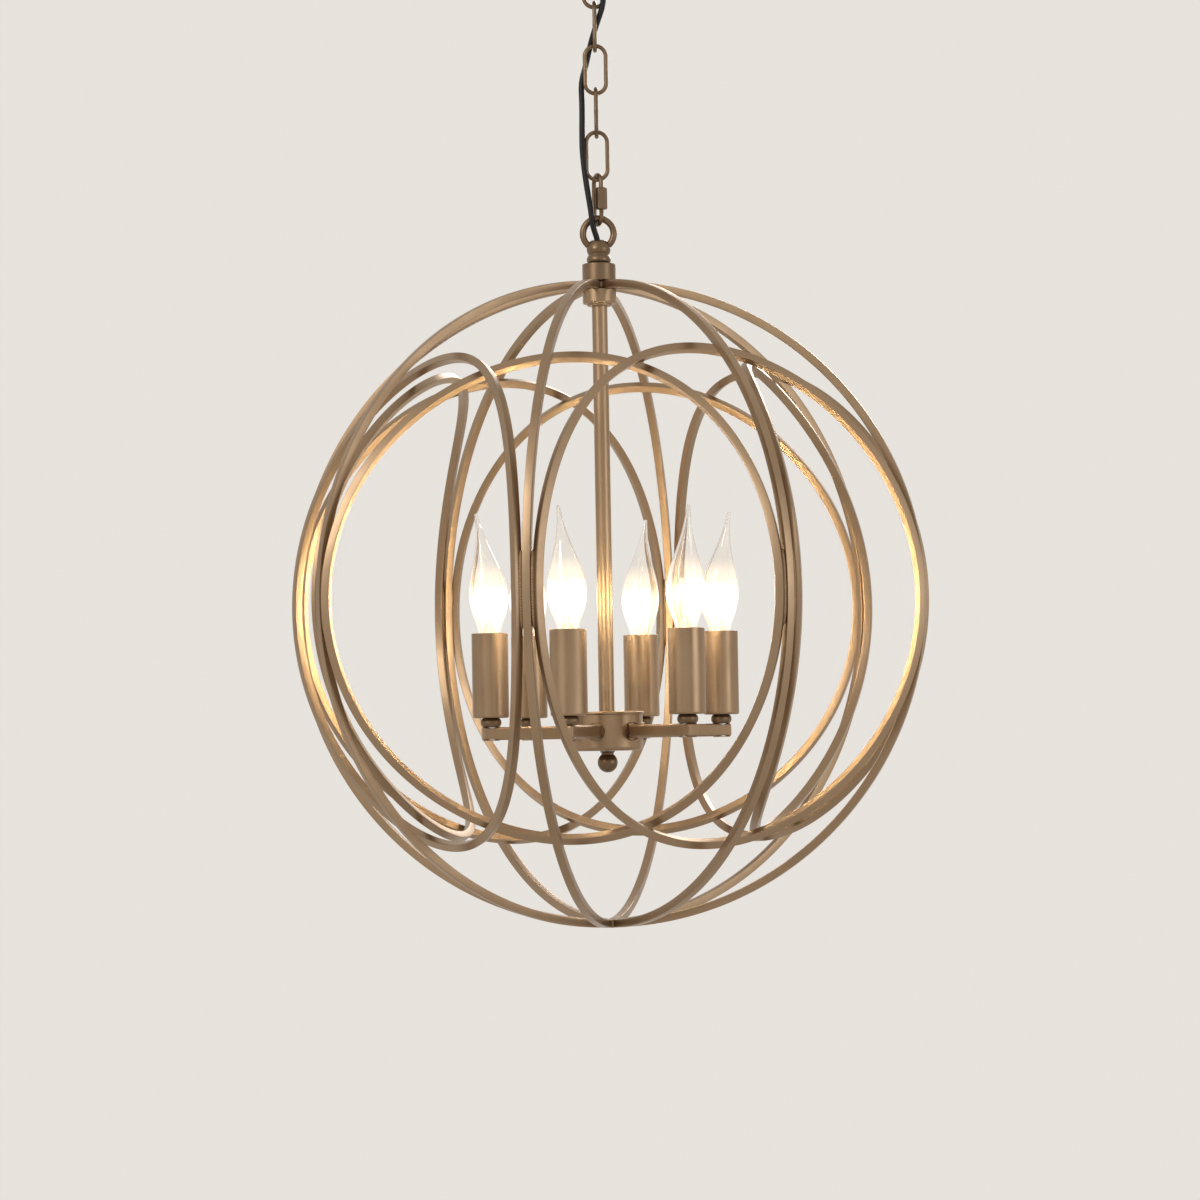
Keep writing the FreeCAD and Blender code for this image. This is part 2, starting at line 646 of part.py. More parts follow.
def lamp(k):
    """A flame-tip bulb: glass lofted through circles whose middles drift out to the bent tip."""
    x, y = out_from_stem(k)
    stations = [
        (0.0, "lamp_neck", 0), (0.07, "lamp_neck * 1.25", 0), (0.2, "lamp_radius * 0.88", 0),
        (0.33, "lamp_radius", 0.02), (0.5, "lamp_radius * 0.86", 0.08), (0.68, "lamp_radius * 0.52", 0.26),
        (0.83, "lamp_radius * 0.24", 0.58), (1.0, "lamp_radius * 0.07", 1.0),
    ]
    lean = "(arm_angle + %d + lamp_angle)" % (60 * k)
    circles = []
    for up, radius, drift in stations:
        circle = doc.addObject("Part::Circle", "Lamp_circle")
        bind(circle, Radius=radius)
        out_x = "%s + %s * lamp_bend * sin(%s)" % (x, drift, lean)
        out_y = "%s - %s * lamp_bend * cos(%s)" % (y, drift, lean)
        place(circle, out_x, out_y, "%s + lamp_gap + %s * lamp_tall" % (MOUTH, up))
        circles.append(circle)
    glass = doc.addObject("Part::Loft", "Lamp_glass")
    glass.Sections = circles
    glass.Solid = True
    base = cylinder("lamp_base", "lamp_base_tall", x, y, "%s + lamp_gap - lamp_base_tall" % MOUTH)
    node(group([glass, base]), "bulb_%d" % (k + 1))


# --- cord: from the ceiling loop down beside the chain and into the hanging loop ---

def cord_points():
    """The route, as share of the way from the collar to the neck, and as shares of the cord's two offsets."""
    high, low = value(COLLAR_LOW), value(FOOT)
    out, front, way = size("cord_out"), size("cord_front"), size("cord_way")
    points = [FreeCAD.Vector(-way, 0, high + size("collar_tall")), FreeCAD.Vector(-way, 0, high - 1)]
    shares = [
        (0.055, -0.68, -0.92), (0.094, -0.50, -1.16), (0.141, 0.23, -1.2), (0.184, 0.64, -1.1),
        (0.215, 0.62, -0.92), (0.276, 0.07, -0.48), (0.332, -0.364, 0.92), (0.391, -0.68, 1.0),
        (0.445, -1.045, 0.7), (0.515, -0.98, 0.0), (0.601, -1.03, -0.64), (0.663, -1.03, -0.72),
        (0.749, -0.82, -0.88), (0.835, -0.51, -1.08), (0.858, -0.455, -1.08), (0.886, -0.38, -0.92),
        (0.9226, -0.09, -0.26), (0.948, 0.0, 0.0), (0.999, 0.0, 0.0),
    ]
    for down, x, y in shares:
        points.append(FreeCAD.Vector(x * out, y * front, high + down * (low - high)))
    return points


def round_route(points):
    """Straight runs joined by tangent arcs, each as large as its two runs allow."""
    edges, here, bends = [], points[0], []
    for before, corner, after in zip(points, points[1:], points[2:]):
        back, ahead = before - corner, after - corner
        short = min(back.Length, ahead.Length)
        turn = math.pi - back.getAngle(ahead)
        radius = 0.45 * short / math.tan(turn / 2)
        back.normalize()
        ahead.normalize()
        start, end = corner + back * (0.45 * short), corner + ahead * (0.45 * short)
        inward = back + ahead
        inward.normalize()
        middle = corner + inward * (radius / math.cos(turn / 2) - radius)
        edges.append(Part.LineSegment(here, start).toShape())
        edges.append(Part.Arc(start, middle, end).toShape())
        here = end
        bends.append(radius)
    edges.append(Part.LineSegment(here, points[-1]).toShape())
    print("cord bends, smallest radius %.1f mm" % min(bends))
    return Part.Wire(edges)


def cord():
    points = cord_points()
    path = round_route(points)
    ahead = points[1] - points[0]
    circle = Part.Wire(Part.Circle(points[0], ahead, size("cord_wide") / 2).toShape())
    tube = path.makePipeShell([circle], True, True)
    area = math.pi * (size("cord_wide") / 2) ** 2
    print("cord %.1f mm, volume ratio %.3f" % (path.Length, tube.Volume / (area * path.Length)))
    thing = doc.addObject("Part::Feature", "Cord")
    thing.Shape = tube
    node(thing, "supply_cord")


def build():
    bracket()
    ceiling_nipple()
    canopy()
    ceiling_loop()
    chain()
    quick_link()
    hanging_loop()
    lower_collar()
    stem()
    ball()
    drum()
    for k in range(int(size("arm_count"))):
        arm(k)
        cup(k)
        lamp(k)
    small_parts()
    cord()


build()
doc.recompute()

faults = [o.Label for o in doc.Objects if "Invalid" in o.State or "Error" in o.State]
if faults:
    raise SystemExit("not built: %s" % ", ".join(faults))
os.makedirs("parts", exist_ok=True)
for thing in nodes:
    if thing.Shape.isNull() or not thing.Shape.isValid():
        raise SystemExit("bad shape: %s" % thing.Label)
for thing in nodes:
    thing.Shape.exportStep("parts/%s.step" % thing.Label)
print("%d nodes" % len(nodes))
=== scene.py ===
"""Orb chandelier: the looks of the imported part.

Metres and degrees, +Z up, origin on the ceiling. Azimuth 0 faces -Y, the side that looks into the room,
and turns towards +X. The part's plain solids are replaced by detailed pieces, or kept and given a finish.
"""

import json
import math

import bmesh
import bpy
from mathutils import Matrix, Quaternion, Vector

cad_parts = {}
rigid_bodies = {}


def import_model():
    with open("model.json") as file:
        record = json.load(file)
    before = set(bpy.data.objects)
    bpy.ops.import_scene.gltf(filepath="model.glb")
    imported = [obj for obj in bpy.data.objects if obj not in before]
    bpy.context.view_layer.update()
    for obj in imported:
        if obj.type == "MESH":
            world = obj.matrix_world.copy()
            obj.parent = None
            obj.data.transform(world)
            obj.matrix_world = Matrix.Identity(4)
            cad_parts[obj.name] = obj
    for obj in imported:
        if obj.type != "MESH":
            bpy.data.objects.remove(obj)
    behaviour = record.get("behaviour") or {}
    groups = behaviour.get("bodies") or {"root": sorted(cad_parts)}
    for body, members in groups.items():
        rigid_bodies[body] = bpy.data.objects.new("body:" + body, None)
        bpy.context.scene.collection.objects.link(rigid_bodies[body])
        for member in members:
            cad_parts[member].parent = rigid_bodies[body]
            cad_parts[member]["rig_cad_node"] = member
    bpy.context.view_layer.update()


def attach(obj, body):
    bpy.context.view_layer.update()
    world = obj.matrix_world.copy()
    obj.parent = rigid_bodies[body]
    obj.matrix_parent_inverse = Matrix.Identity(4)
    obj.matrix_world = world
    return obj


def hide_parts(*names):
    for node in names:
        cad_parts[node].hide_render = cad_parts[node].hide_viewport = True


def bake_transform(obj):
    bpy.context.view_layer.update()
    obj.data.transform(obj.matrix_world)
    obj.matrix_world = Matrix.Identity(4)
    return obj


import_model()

# --- sizes: ball ---
BALL_Z = -0.556
BALL_RADIUS = 0.247
BAR = 0.0063
BAR_ROUND = 0.0007
RIB_COUNT = 8
RIB_ANGLE = -12.8
HUB_FLAT = 0.0078  # how far from the middle line the ribs end
SLIP = 0.00005  # the gap left between pieces that touch
# rise: a hoop's half height less its half width. tuck: how far its top leans in.
OUTER_RISE, OUTER_TUCK = 0.0148, 0.044
INNER_RISE, INNER_TUCK = 0.0098, 0.062
WELD_LONG, WELD_DEEP, WELD_ACROSS = 0.056, 0.0048, 0.0046
WELD_ABOVE, WELD_OUT, WELD_ASIDE = 0.001, 0.0004, 0.0012
# a ripple's length, and the shares of the section that it sways by, sways about and ends with
WELD_RIPPLE, WELD_WAVE, WELD_MEAN, WELD_END = 0.0021, 0.07, 0.9, 0.05
HUB_WELD, HUB_WELD_LAP, HUB_WELD_INSET, HUB_WELD_ROUND = 0.0102, 0.0005, 0.0004, 0.0012
HUB_WELD_WAVE, HUB_WELD_STEP = 0.00015, 1.9

# --- sizes: chain and quick link ---
LINK_COUNT = 5
CHAIN_WIRE, CHAIN_LONG, CHAIN_WIDE = 0.0032, 0.0405, 0.0195
CHAIN_PITCH = 0.0338
LAST_LINK_Z = -0.20775
LINK_WELD_PROUD, LINK_WELD_LONG = 0.1, 0.0014
QUICK_WIRE, QUICK_LONG, QUICK_WIDE, QUICK_Z = 0.0035, 0.042, 0.017, -0.242
QUICK_ANGLE, QUICK_GAP, QUICK_GAP_LOW = 24, 0.0036, 0.0082
THREAD_PITCH, THREAD_DEEP, THREAD_LONG = 0.0007, 0.00018, 0.006
SLEEVE_TALL, SLEEVE_FLATS, SLEEVE_CHAMFER = 0.017, 0.008, 0.0008
SLEEVE_END = 0.93  # the turned ends' width as a share of the flats'

# --- sizes: ceiling fitting ---
CANOPY_RADIUS, CANOPY_DEEP, CANOPY_WALL, CANOPY_HOLE = 0.065, 0.028, 0.0012, 0.0135
CANOPY_RIM = 0.005
CANOPY_SHOULDER_IN, CANOPY_SHOULDER_DOWN, CANOPY_SHOULDER_ROUND = 0.009, 0.012, 0.004
CANOPY_FOOT, CANOPY_FOOT_OUT, CANOPY_FOOT_RISE, CANOPY_FOOT_INSIDE = 0.012, 0.016, 0.002, 0.0004
CANOPY_ROUND, CANOPY_EDGE = 0.002, 0.0004
CEILING_COLLAR = 0.0132
RING_NUT_RADIUS, RING_NUT_TALL, RING_NUT_DROP = 0.017, 0.005, 0.0003
KNURL_DEEP, KNURL_EDGE = 0.0004, 0.0003

# --- sizes: what is turned about the middle line ---
LOOP_Z, LOOP_RADIUS, LOOP_WIRE = -0.2685, 0.0119, 0.0052
COLLAR_RADIUS, UPPER_COLLAR_TALL, LOWER_COLLAR_TALL = 0.013, 0.0135, 0.011
COLLAR_LIP, COLLAR_LIP_TALL = 0.0095, 0.0016
STEM_RADIUS, STEM_BORE = 0.006, 0.0046
DRUM_ABOVE, DRUM_RADIUS, DRUM_TALL, DRUM_WALL = -0.1142, 0.0275, 0.028, 0.0014
LID_RADIUS, LID_THICK, LID_STEP = 0.0286, 0.0022, 0.0004
LID_STEP_OUTER, LID_STEP_INNER = STEM_RADIUS + 0.0022, STEM_RADIUS + 0.0018
FINIAL_RADIUS, FINIAL_DROP, FINIAL_NECK, FINIAL_NECK_TALL = 0.00775, 0.009, 0.0057, 0.0012
FINIAL_GROOVE, FINIAL_GROOVE_TOP, FINIAL_GROOVE_LOW = 0.0048, 0.0015, 0.0022
ROD_RADIUS = 0.0051

# --- sizes: roundings of turned edges ---
EASE_HAIR, EASE_FINE, EASE_EDGE, EASE_SOFT, EASE_LIP = 0.0002, 0.0003, 0.0004, 0.0005, 0.0006
EASE_TOP, EASE_ROOT, EASE_FLOOR = 0.0009, 0.001, 0.0012
EASE_BELL, EASE_CUP, EASE_DRUM = 0.0016, 0.0018, 0.0032

# --- sizes: arms and cups ---
ARM_COUNT, ARM_ANGLE = 6, -18
ARM_WIDE, ARM_ABOVE, ARM_PAST, ARM_ROUND = 0.01, -0.0995, 0.007, 0.0016
ARM_GAP, ARM_STEP = 0.0001, 0.0005
BOSS_RADIUS, BOSS_PROUD, BOSS_SUNK, BOSS_EDGE = 0.007, 0.0035, 0.0012, 0.0026
CUP_CIRCLE, CUP_RADIUS, CUP_TALL, CUP_WALL, CUP_FLOOR = 0.091, 0.014, 0.065, 0.0011, 0.002
CUP_HOLE = 0.005
SPACER_TALL, BEAD_RADIUS, BEAD_BULGE = 0.007, 0.008, 62
TUBE_RADIUS, TUBE_BORE, TUBE_TOP = 0.0049, 0.0038, -0.6405
NUT_RADIUS, NUT_PROUD = 0.0066, 0.0005

# --- sizes: lamps ---
LAMP_NECK, LAMP_TALL, LAMP_BEND, LAMP_ANGLE, LAMP_GAP = 0.0082, 0.092, 0.009, -20, 0.0003
LAMP_WALL, LAMP_THINNEST, LAMP_TIP, LAMP_TIP_SHARE = 0.0006, 0.0003, 0.0004, 0.9
CAP_RADIUS, CAP_TALL = 0.0069, 0.025
CAP_THREAD_PITCH, CAP_THREAD_DEEP, CAP_THREAD_FOOT, CAP_THREAD_TALL = 0.0027, 0.0004, 0.0035, 0.0162
LEAD_RADIUS = 0.00022
COIL_RADIUS, COIL_WIRE, COIL_TURNS = 0.0007, 0.0003, 26

# --- sizes: cord ---
CORD_WIDE = 0.0045
CEILING_PIVOT = -0.05805

# --- fineness of the meshes ---
SHARP_ANGLE = 38
RIB_STEPS, HOOP_STEPS, WELD_STEPS = 144, 240, 96
LINK_STEPS, QUICK_STEPS, WIRE_SIDES = 160, 900, 16
CANOPY_STEPS, KNURL_STEPS, HUB_STEPS = 128, 144, 96
RING_STEPS, RING_SIDES, SLEEVE_SIDES = 96, 24, 72
LAMP_STEPS, CAP_THREAD_STEPS, COIL_STEPS = 40, 64, 8
CORD_SIDES = 24

# --- stage, and camera at the photograph's own view ---
FLOOR_Z = -1.25
FLOOR_FADE_START, FLOOR_FADE_END, FLOOR_HALF = 1.0, 1.75, 40
PALE = (0.8, 0.765, 0.72)
WARM_LIGHT, COOL_LIGHT = (1, 0.96, 0.9), (0.95, 0.97, 1)
WORLD_SEEN, WORLD_LIGHT = 1.0, 0.5
CAMERA_FAR, CAMERA_ELEVATION, CAMERA_ROLL = 2.717, -2.32, -1.02
CAMERA_LENS, CAMERA_SENSOR = 105.3, 36
PHOTO_WIDE = 1200
BALL_PIXEL_X, BALL_PIXEL_Y = 604.9, 603.2

# --- places that follow from the sizes ---
UP = Vector((0, 0, 1))
BALL = Vector((0, 0, BALL_Z))
HOOP_OFF = BAR / 2 + BAR / math.sqrt(2) + SLIP
HOOP_SIDE = math.sqrt(BALL_RADIUS ** 2 - HOOP_OFF ** 2)
HOOP_REACH = (HOOP_SIDE + HOOP_OFF) / math.sqrt(2)
HOOP_HALF = (HOOP_SIDE - HOOP_OFF) / math.sqrt(2)
RIBS_TOP = BALL_Z + BALL_RADIUS + BAR / 2
DRUM_FOOT = BALL_Z + DRUM_ABOVE
DRUM_TOP = DRUM_FOOT + DRUM_TALL
LID_TOP = DRUM_TOP + LID_THICK
ARM_Z = BALL_Z + ARM_ABOVE
CUP_Z = ARM_Z + ARM_WIDE / 2 + SPACER_TALL
MOUTH_Z = CUP_Z + CUP_TALL


def outward(azimuth):
    a = math.radians(azimuth)
    return Vector((math.sin(a), -math.cos(a), 0))


def sideways(azimuth):
    a = math.radians(azimuth)
    return Vector((math.cos(a), math.sin(a), 0))


def rib_azimuth(k):
    return RIB_ANGLE + 360 / RIB_COUNT * k


def arm_azimuth(k):
    return ARM_ANGLE + 360 / ARM_COUNT * k


def cup_axis(k):
    return outward(arm_azimuth(k)) * CUP_CIRCLE


# --- materials ---

class Nodes:
    """A short way to write a node material."""

    def __init__(self, name):
        self.material = bpy.data.materials.new(name)
        self.material.use_nodes = True
        self.tree = self.material.node_tree
        self.shader = self.tree.nodes["Principled BSDF"]
        self.output = self.tree.nodes["Material Output"]
        self.place = self.add("ShaderNodeTexCoord").outputs["Object"]

    def add(self, kind, **settings):
        made = self.tree.nodes.new(kind)
        for name, value in settings.items():
            setattr(made, name, value)
        return made

    def link(self, source, target):
        self.tree.links.new(source, target)

    def set(self, name, value):
        self.shader.inputs[name].default_value = value

    def noise(self, scale, detail, stretch=None):
        made = self.add("ShaderNodeTexNoise")
        made.inputs["Scale"].default_value = scale
        made.inputs["Detail"].default_value = detail
        made.inputs["Roughness"].default_value = 0.5
        place = self.place
        if stretch:
            mapping = self.add("ShaderNodeMapping")
            mapping.inputs["Scale"].default_value = stretch
            self.link(place, mapping.inputs["Vector"])
            place = mapping.outputs["Vector"]
        self.link(place, made.inputs["Vector"])
        return made.outputs["Fac"]

    def between(self, source, low, high, start=0.3, end=0.7):
        """Low where the source is at start or less, high where it is at end or more."""
        made = self.add("ShaderNodeMapRange")
        for name, value in (("From Min", start), ("From Max", end), ("To Min", low), ("To Max", high)):
            made.inputs[name].default_value = value
        self.link(source, made.inputs["Value"])
        return made.outputs["Result"]

    def mix(self, factor, first, second):
        made = self.add("ShaderNodeMix", data_type="RGBA")
        self.link(factor, made.inputs[0])
        for socket, colour in ((made.inputs[6], first), (made.inputs[7], second)):
            if isinstance(colour, tuple):
                socket.default_value = (*colour, 1)
            else:
                self.link(colour, socket)
        return made.outputs[2]

    def bump(self, height, strength, distance, under=None):
        made = self.add("ShaderNodeBump")
        made.inputs["Strength"].default_value = strength
        made.inputs["Distance"].default_value = distance
        self.link(height, made.inputs["Height"])
        if under:
            self.link(under, made.inputs["Normal"])
        return made.outputs["Normal"]

    def dress(self, colour=None, roughness=None, normal=None):
        """Links colour, roughness and normal to the shader."""
        for name, source in (("Base Color", colour), ("Roughness", roughness), ("Normal", normal)):
            if source:
                self.link(source, self.shader.inputs[name])
        return self.material


def painted_metal(name, shade, body, flake):
    """Satin metallic paint: soft patches between two tones, a fine flake and a slight orange peel."""
    n = Nodes(name)
    n.set("Metallic", 0.92)
    patches = n.between(n.noise(scale=14, detail=3), low=0, high=1)
    tone = n.mix(patches, shade, body)
    flakes = n.between(n.noise(scale=3200, detail=2), low=0, high=0.4, start=0.55, end=0.75)
    peel = n.bump(n.noise(scale=420, detail=2), strength=0.06, distance=0.0002)
    return n.dress(
        n.mix(flakes, tone, flake),
        n.between(n.noise(scale=45, detail=4), low=0.3, high=0.4),
        n.bump(n.noise(scale=2600, detail=2), strength=0.05, distance=0.0001, under=peel),
    )


def weld_metal():
    """The same paint over rippled weld metal, a little darker and rougher."""
    n = Nodes("painted_weld")
    n.set("Metallic", 0.85)
    return n.dress(
        n.mix(n.noise(scale=500, detail=4), (0.19, 0.122, 0.068), (0.32, 0.21, 0.118)),
        n.between(n.noise(scale=700, detail=3), low=0.38, high=0.58),
        n.bump(n.noise(scale=900, detail=3), strength=0.35, distance=0.0004),
    )


def zinc_plate():
    n = Nodes("zinc_plate")
    n.set("Metallic", 1.0)
    tint = n.between(n.noise(scale=90, detail=4), low=0, high=1, start=0.35, end=0.65)
    return n.dress(
        n.mix(tint, (0.56, 0.55, 0.5), (0.66, 0.66, 0.65)),
        n.between(n.noise(scale=180, detail=4), low=0.26, high=0.42),
        n.bump(n.noise(scale=1500, detail=2), strength=0.08, distance=0.0002),
    )


def nickel():
    n = Nodes("nickel_cap")
    n.set("Metallic", 1.0)
    tint = n.between(n.noise(scale=200, detail=3), low=0, high=1, start=0.35, end=0.65)
    return n.dress(
        n.mix(tint, (0.62, 0.58, 0.5), (0.72, 0.69, 0.63)),
        n.between(n.noise(scale=400, detail=3), low=0.18, high=0.3),
    )


def phenolic():
    n = Nodes("moulded_phenolic")
    swirl = n.between(n.noise(scale=160, detail=5), low=0, high=1, start=0.35, end=0.65)
    return n.dress(
        n.mix(swirl, (0.028, 0.023, 0.02), (0.052, 0.044, 0.038)),
        n.between(n.noise(scale=300, detail=3), low=0.38, high=0.55),
        n.bump(n.noise(scale=1200, detail=2), strength=0.12, distance=0.0002),
    )


def cord_jacket():
    """Black flexible jacket, satin, with fine lengthwise drawing marks and some dust."""
    n = Nodes("black_cord_jacket")
    n.set("Specular IOR Level", 0.3)
    dust = n.between(n.noise(scale=700, detail=5), low=0, high=0.3, start=0.55, end=0.8)
    marks = n.noise(scale=1400, detail=2, stretch=(1, 1, 0.05))
    return n.dress(
        n.mix(dust, (0.006, 0.0055, 0.005), (0.03, 0.027, 0.024)),
        n.between(n.noise(scale=250, detail=3), low=0.38, high=0.55),
        n.bump(marks, strength=0.15, distance=0.0002),
    )


# the painted glow along the bulb as (share of its height, colour)
GLOW = [
    (0.0, (0.55, 0.43, 0.28)), (0.27, (1.0, 0.84, 0.6)),
    (0.45, (0.3, 0.22, 0.13)), (0.62, (0.0, 0.0, 0.0)),
]


def lamp_glass():
    """Clear thin glass. Low in the bulb, round the filament, the glass carries a painted warm glow: emission
    that stands in for the lamp's own light.
    """
    n = Nodes("clear_lamp_glass")
    n.set("Base Color", (1.0, 0.985, 0.96, 1))
    n.set("Transmission Weight", 1.0)
    n.set("IOR", 1.47)
    height = n.add("ShaderNodeSeparateXYZ")
    n.link(n.place, height.inputs[0])
    glow = n.add("ShaderNodeValToRGB")
    ramp = glow.color_ramp
    ramp.interpolation = "EASE"
    for stop, (share, colour) in zip(ramp.elements, (GLOW[0], GLOW[-1])):
        stop.position, stop.color = share, (*colour, 1)
    for share, colour in GLOW[1:-1]:
        ramp.elements.new(share).color = (*colour, 1)
    n.link(n.between(height.outputs["Z"], 0, 1, 0, LAMP_TALL), glow.inputs["Fac"])
    n.link(glow.outputs["Color"], n.shader.inputs["Emission Color"])
    n.set("Emission Strength", 0.3)
    return n.dress(roughness=n.between(n.noise(scale=90, detail=3), low=0.0, high=0.035))


def stem_glass():
    n = Nodes("lamp_stem_glass")
    n.set("Base Color", (0.97, 0.95, 0.9, 1))
    n.set("Transmission Weight", 0.9)
    n.set("IOR", 1.5)
    return n.dress(roughness=n.between(n.noise(scale=300, detail=3), low=0.05, high=0.2))


def hot_filament():
    """Tungsten at working heat, in two shades of its glow."""
    n = Nodes("hot_filament")
    n.set("Base Color", (0.3, 0.2, 0.1, 1))
    heat = n.between(n.noise(scale=500, detail=2), low=0, high=1)
    n.link(n.mix(heat, (1.0, 0.72, 0.36), (1.0, 0.9, 0.66)), n.shader.inputs["Emission Color"])
    n.set("Emission Strength", 480)
    return n.material


PAINT = painted_metal(
    "champagne_bronze_paint",
    shade=(0.285, 0.195, 0.118), body=(0.345, 0.24, 0.15), flake=(0.56, 0.43, 0.29),
)
# Painted shade: the champagne paint in a darker copy, for the parts that stand out of the light: chain,
# quick link and sleeve, hanging ring, ceiling loop, upper collar, finial and cup beads.
SHADED_PAINT = painted_metal(
    "paint_darkened_for_shade",
    shade=(0.135, 0.088, 0.052), body=(0.2, 0.135, 0.082), flake=(0.36, 0.26, 0.16),
)
WELD = weld_metal()
ZINC = zinc_plate()
NICKEL = nickel()
PHENOLIC = phenolic()
JACKET = cord_jacket()
GLASS = lamp_glass()
STEM_GLASS = stem_glass()
FILAMENT = hot_filament()


# --- mesh helpers: a shape is (points, faces) ---

def placed(name, data):
    """A new object in the scene."""
    made = bpy.data.objects.new(name, data)
    bpy.context.scene.collection.objects.link(made)
    return made


def piece(name, shape, material, body, nodes=(), at=None, crisp=True):
    """A mesh object with outward normals that rides on a body and takes the place of some solids."""
    points, faces = shape
    mesh = bpy.data.meshes.new(name)
    mesh.from_pydata([tuple(p) for p in points], [], faces)
    work = bmesh.new()
    work.from_mesh(mesh)
    bmesh.ops.recalc_face_normals(work, faces=work.faces)
    work.to_mesh(mesh)
    work.free()
    mesh.shade_smooth()
    mesh.set_sharp_from_angle(angle=math.radians(SHARP_ANGLE))
    mesh.materials.append(material)
    made = placed(name, mesh)
    if at is not None:
        made.location = at
    if crisp:
        made.modifiers.new("Even_normals", "WEIGHTED_NORMAL").keep_sharp = True
    if body:
        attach(made, body)
    if nodes:
        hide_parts(*nodes)
    return made


def painted(name, shape, nodes, finish=PAINT, body="fixture", crisp=True):
    piece(name, shape, finish, body, nodes, crisp=crisp)


def joined(shapes):
    """Several shapes as one."""
    points, faces = [], []
    for some, others in shapes:
        start = len(points)
        points += some
        faces += [tuple(start + i for i in face) for face in others]
    return points, faces


def band(a, b, count):
    """The faces between two rings of points that start at a and b."""
    return [(a + i, a + (i + 1) % count, b + (i + 1) % count, b + i) for i in range(count)]


def round_section(radius, count=WIRE_SIDES):
    turns = [2 * math.pi * i / count for i in range(count)]
    return [(radius * math.cos(t), radius * math.sin(t)) for t in turns]


def square_section(side, radius, steps=3):
    """A square with rounded corners."""
    half = side / 2 - radius
    section = []
    for quarter, (x, y) in enumerate(((1, 1), (-1, 1), (-1, -1), (1, -1))):
        for step in range(steps):
            t = math.radians(90 * (quarter + step / (steps - 1)))
            section.append((x * half + radius * math.cos(t), y * half + radius * math.sin(t)))
    return section


def sweep(stations, section, closed=False, swell=None):
    """A bar along stations of (centre, across, up). swell(i, j) scales a point of the section."""
    points, faces = [], []
    count, size = len(stations), len(section)
    for i, (centre, across, up) in enumerate(stations):
        for j, (x, y) in enumerate(section):
            scale = swell(i, j) if swell else 1
            points.append(centre + across * (x * scale) + up * (y * scale))
    for i in range(count if closed else count - 1):
        for j in range(size):
            a, b = i * size, (i + 1) % count * size
            k = (j + 1) % size
            faces.append((a + j, b + j, b + k, a + k))
    if not closed:
        faces.append(tuple(range(size)))
        faces.append(tuple((count - 1) * size + j for j in reversed(range(size))))
    return points, faces


def rounded(corners, steps=5):
    """An outline from (radius, height, rounding) corners. The first corner follows the last."""
    line = []
    for i, (r, z, ease) in enumerate(corners):
        here = Vector((r, z))
        if not ease:
            line.append((r, z))
            continue
        before, after = corners[i - 1], corners[(i + 1) % len(corners)]
        start = here + (Vector(before[:2]) - here).normalized() * ease
        end = here + (Vector(after[:2]) - here).normalized() * ease
        for step in range(steps + 1):
            t = step / steps
            p = start * (1 - t) ** 2 + here * 2 * t * (1 - t) + end * t * t
            line.append((p.x, p.y))
    return line


def lathe(outline, centre=(0, 0, 0), steps=72, closed=True, axis=None, flute=None):
    """Turns an outline of (radius, height) about the z axis, or about another axis given as a rotation.

    flute(i, r) is cut from the radius of a ring's point i.
    """
    points, faces, rings = [], [], []
    for r, z in outline:
        if r < 1e-7:
            rings.append([len(points)] * steps)
            points.append(Vector((0, 0, z)))
            continue
        rings.append(list(range(len(points), len(points) + steps)))
        for i in range(steps):
            t = 2 * math.pi * i / steps
            reach = r - (flute(i, r) if flute else 0)
            points.append(Vector((reach * math.cos(t), reach * math.sin(t), z)))
    for a, b in zip(rings, rings[1:] + rings[:1] if closed else rings[1:]):
        for i in range(steps):
            k = (i + 1) % steps
            face = [a[i], a[k], b[k], b[i]]
            faces.append(tuple(dict.fromkeys(face)))
    faces = [f for f in faces if len(f) > 2]
    if axis:
        points = [axis @ p for p in points]
    points = [p + Vector(centre) for p in points]
    return points, faces


def eased(places, steps):
    """A smooth line through some places of three numbers, with steps from each to the next."""
    line = []
    for i in range(len(places) - 1):
        a, b = Vector(places[i]), Vector(places[i + 1])
        before = Vector(places[max(i - 1, 0)])
        after = Vector(places[min(i + 2, len(places) - 1)])
        for step in range(steps):
            t = step / steps
            p = 2 * a + (b - before) * t + (2 * before - 5 * a + 4 * b - after) * t * t
            p += (3 * a - before - 3 * b + after) * t ** 3
            line.append(p / 2)
    line.append(Vector(places[-1]))
    return line


def heading(line, i):
    """The direction of a line at its place i."""
    return (line[min(i + 1, len(line) - 1)] - line[max(i - 1, 0)]).normalized()


# --- the ball ---

def rib(k):
    out, along = outward(rib_azimuth(k)), sideways(rib_azimuth(k))
    limit = math.acos(HUB_FLAT / BALL_RADIUS)
    stations = []
    for i in range(RIB_STEPS + 1):
        t = limit * (2 * i / RIB_STEPS - 1)
        normal = out * math.cos(t) + UP * math.sin(t)
        stations.append((BALL + normal * BALL_RADIUS, normal, along))
    shape = sweep(stations, square_section(BAR, BAR_ROUND))
    painted("rib_bar_%d" % (k + 1), shape, ["rib_%d" % (k + 1)])


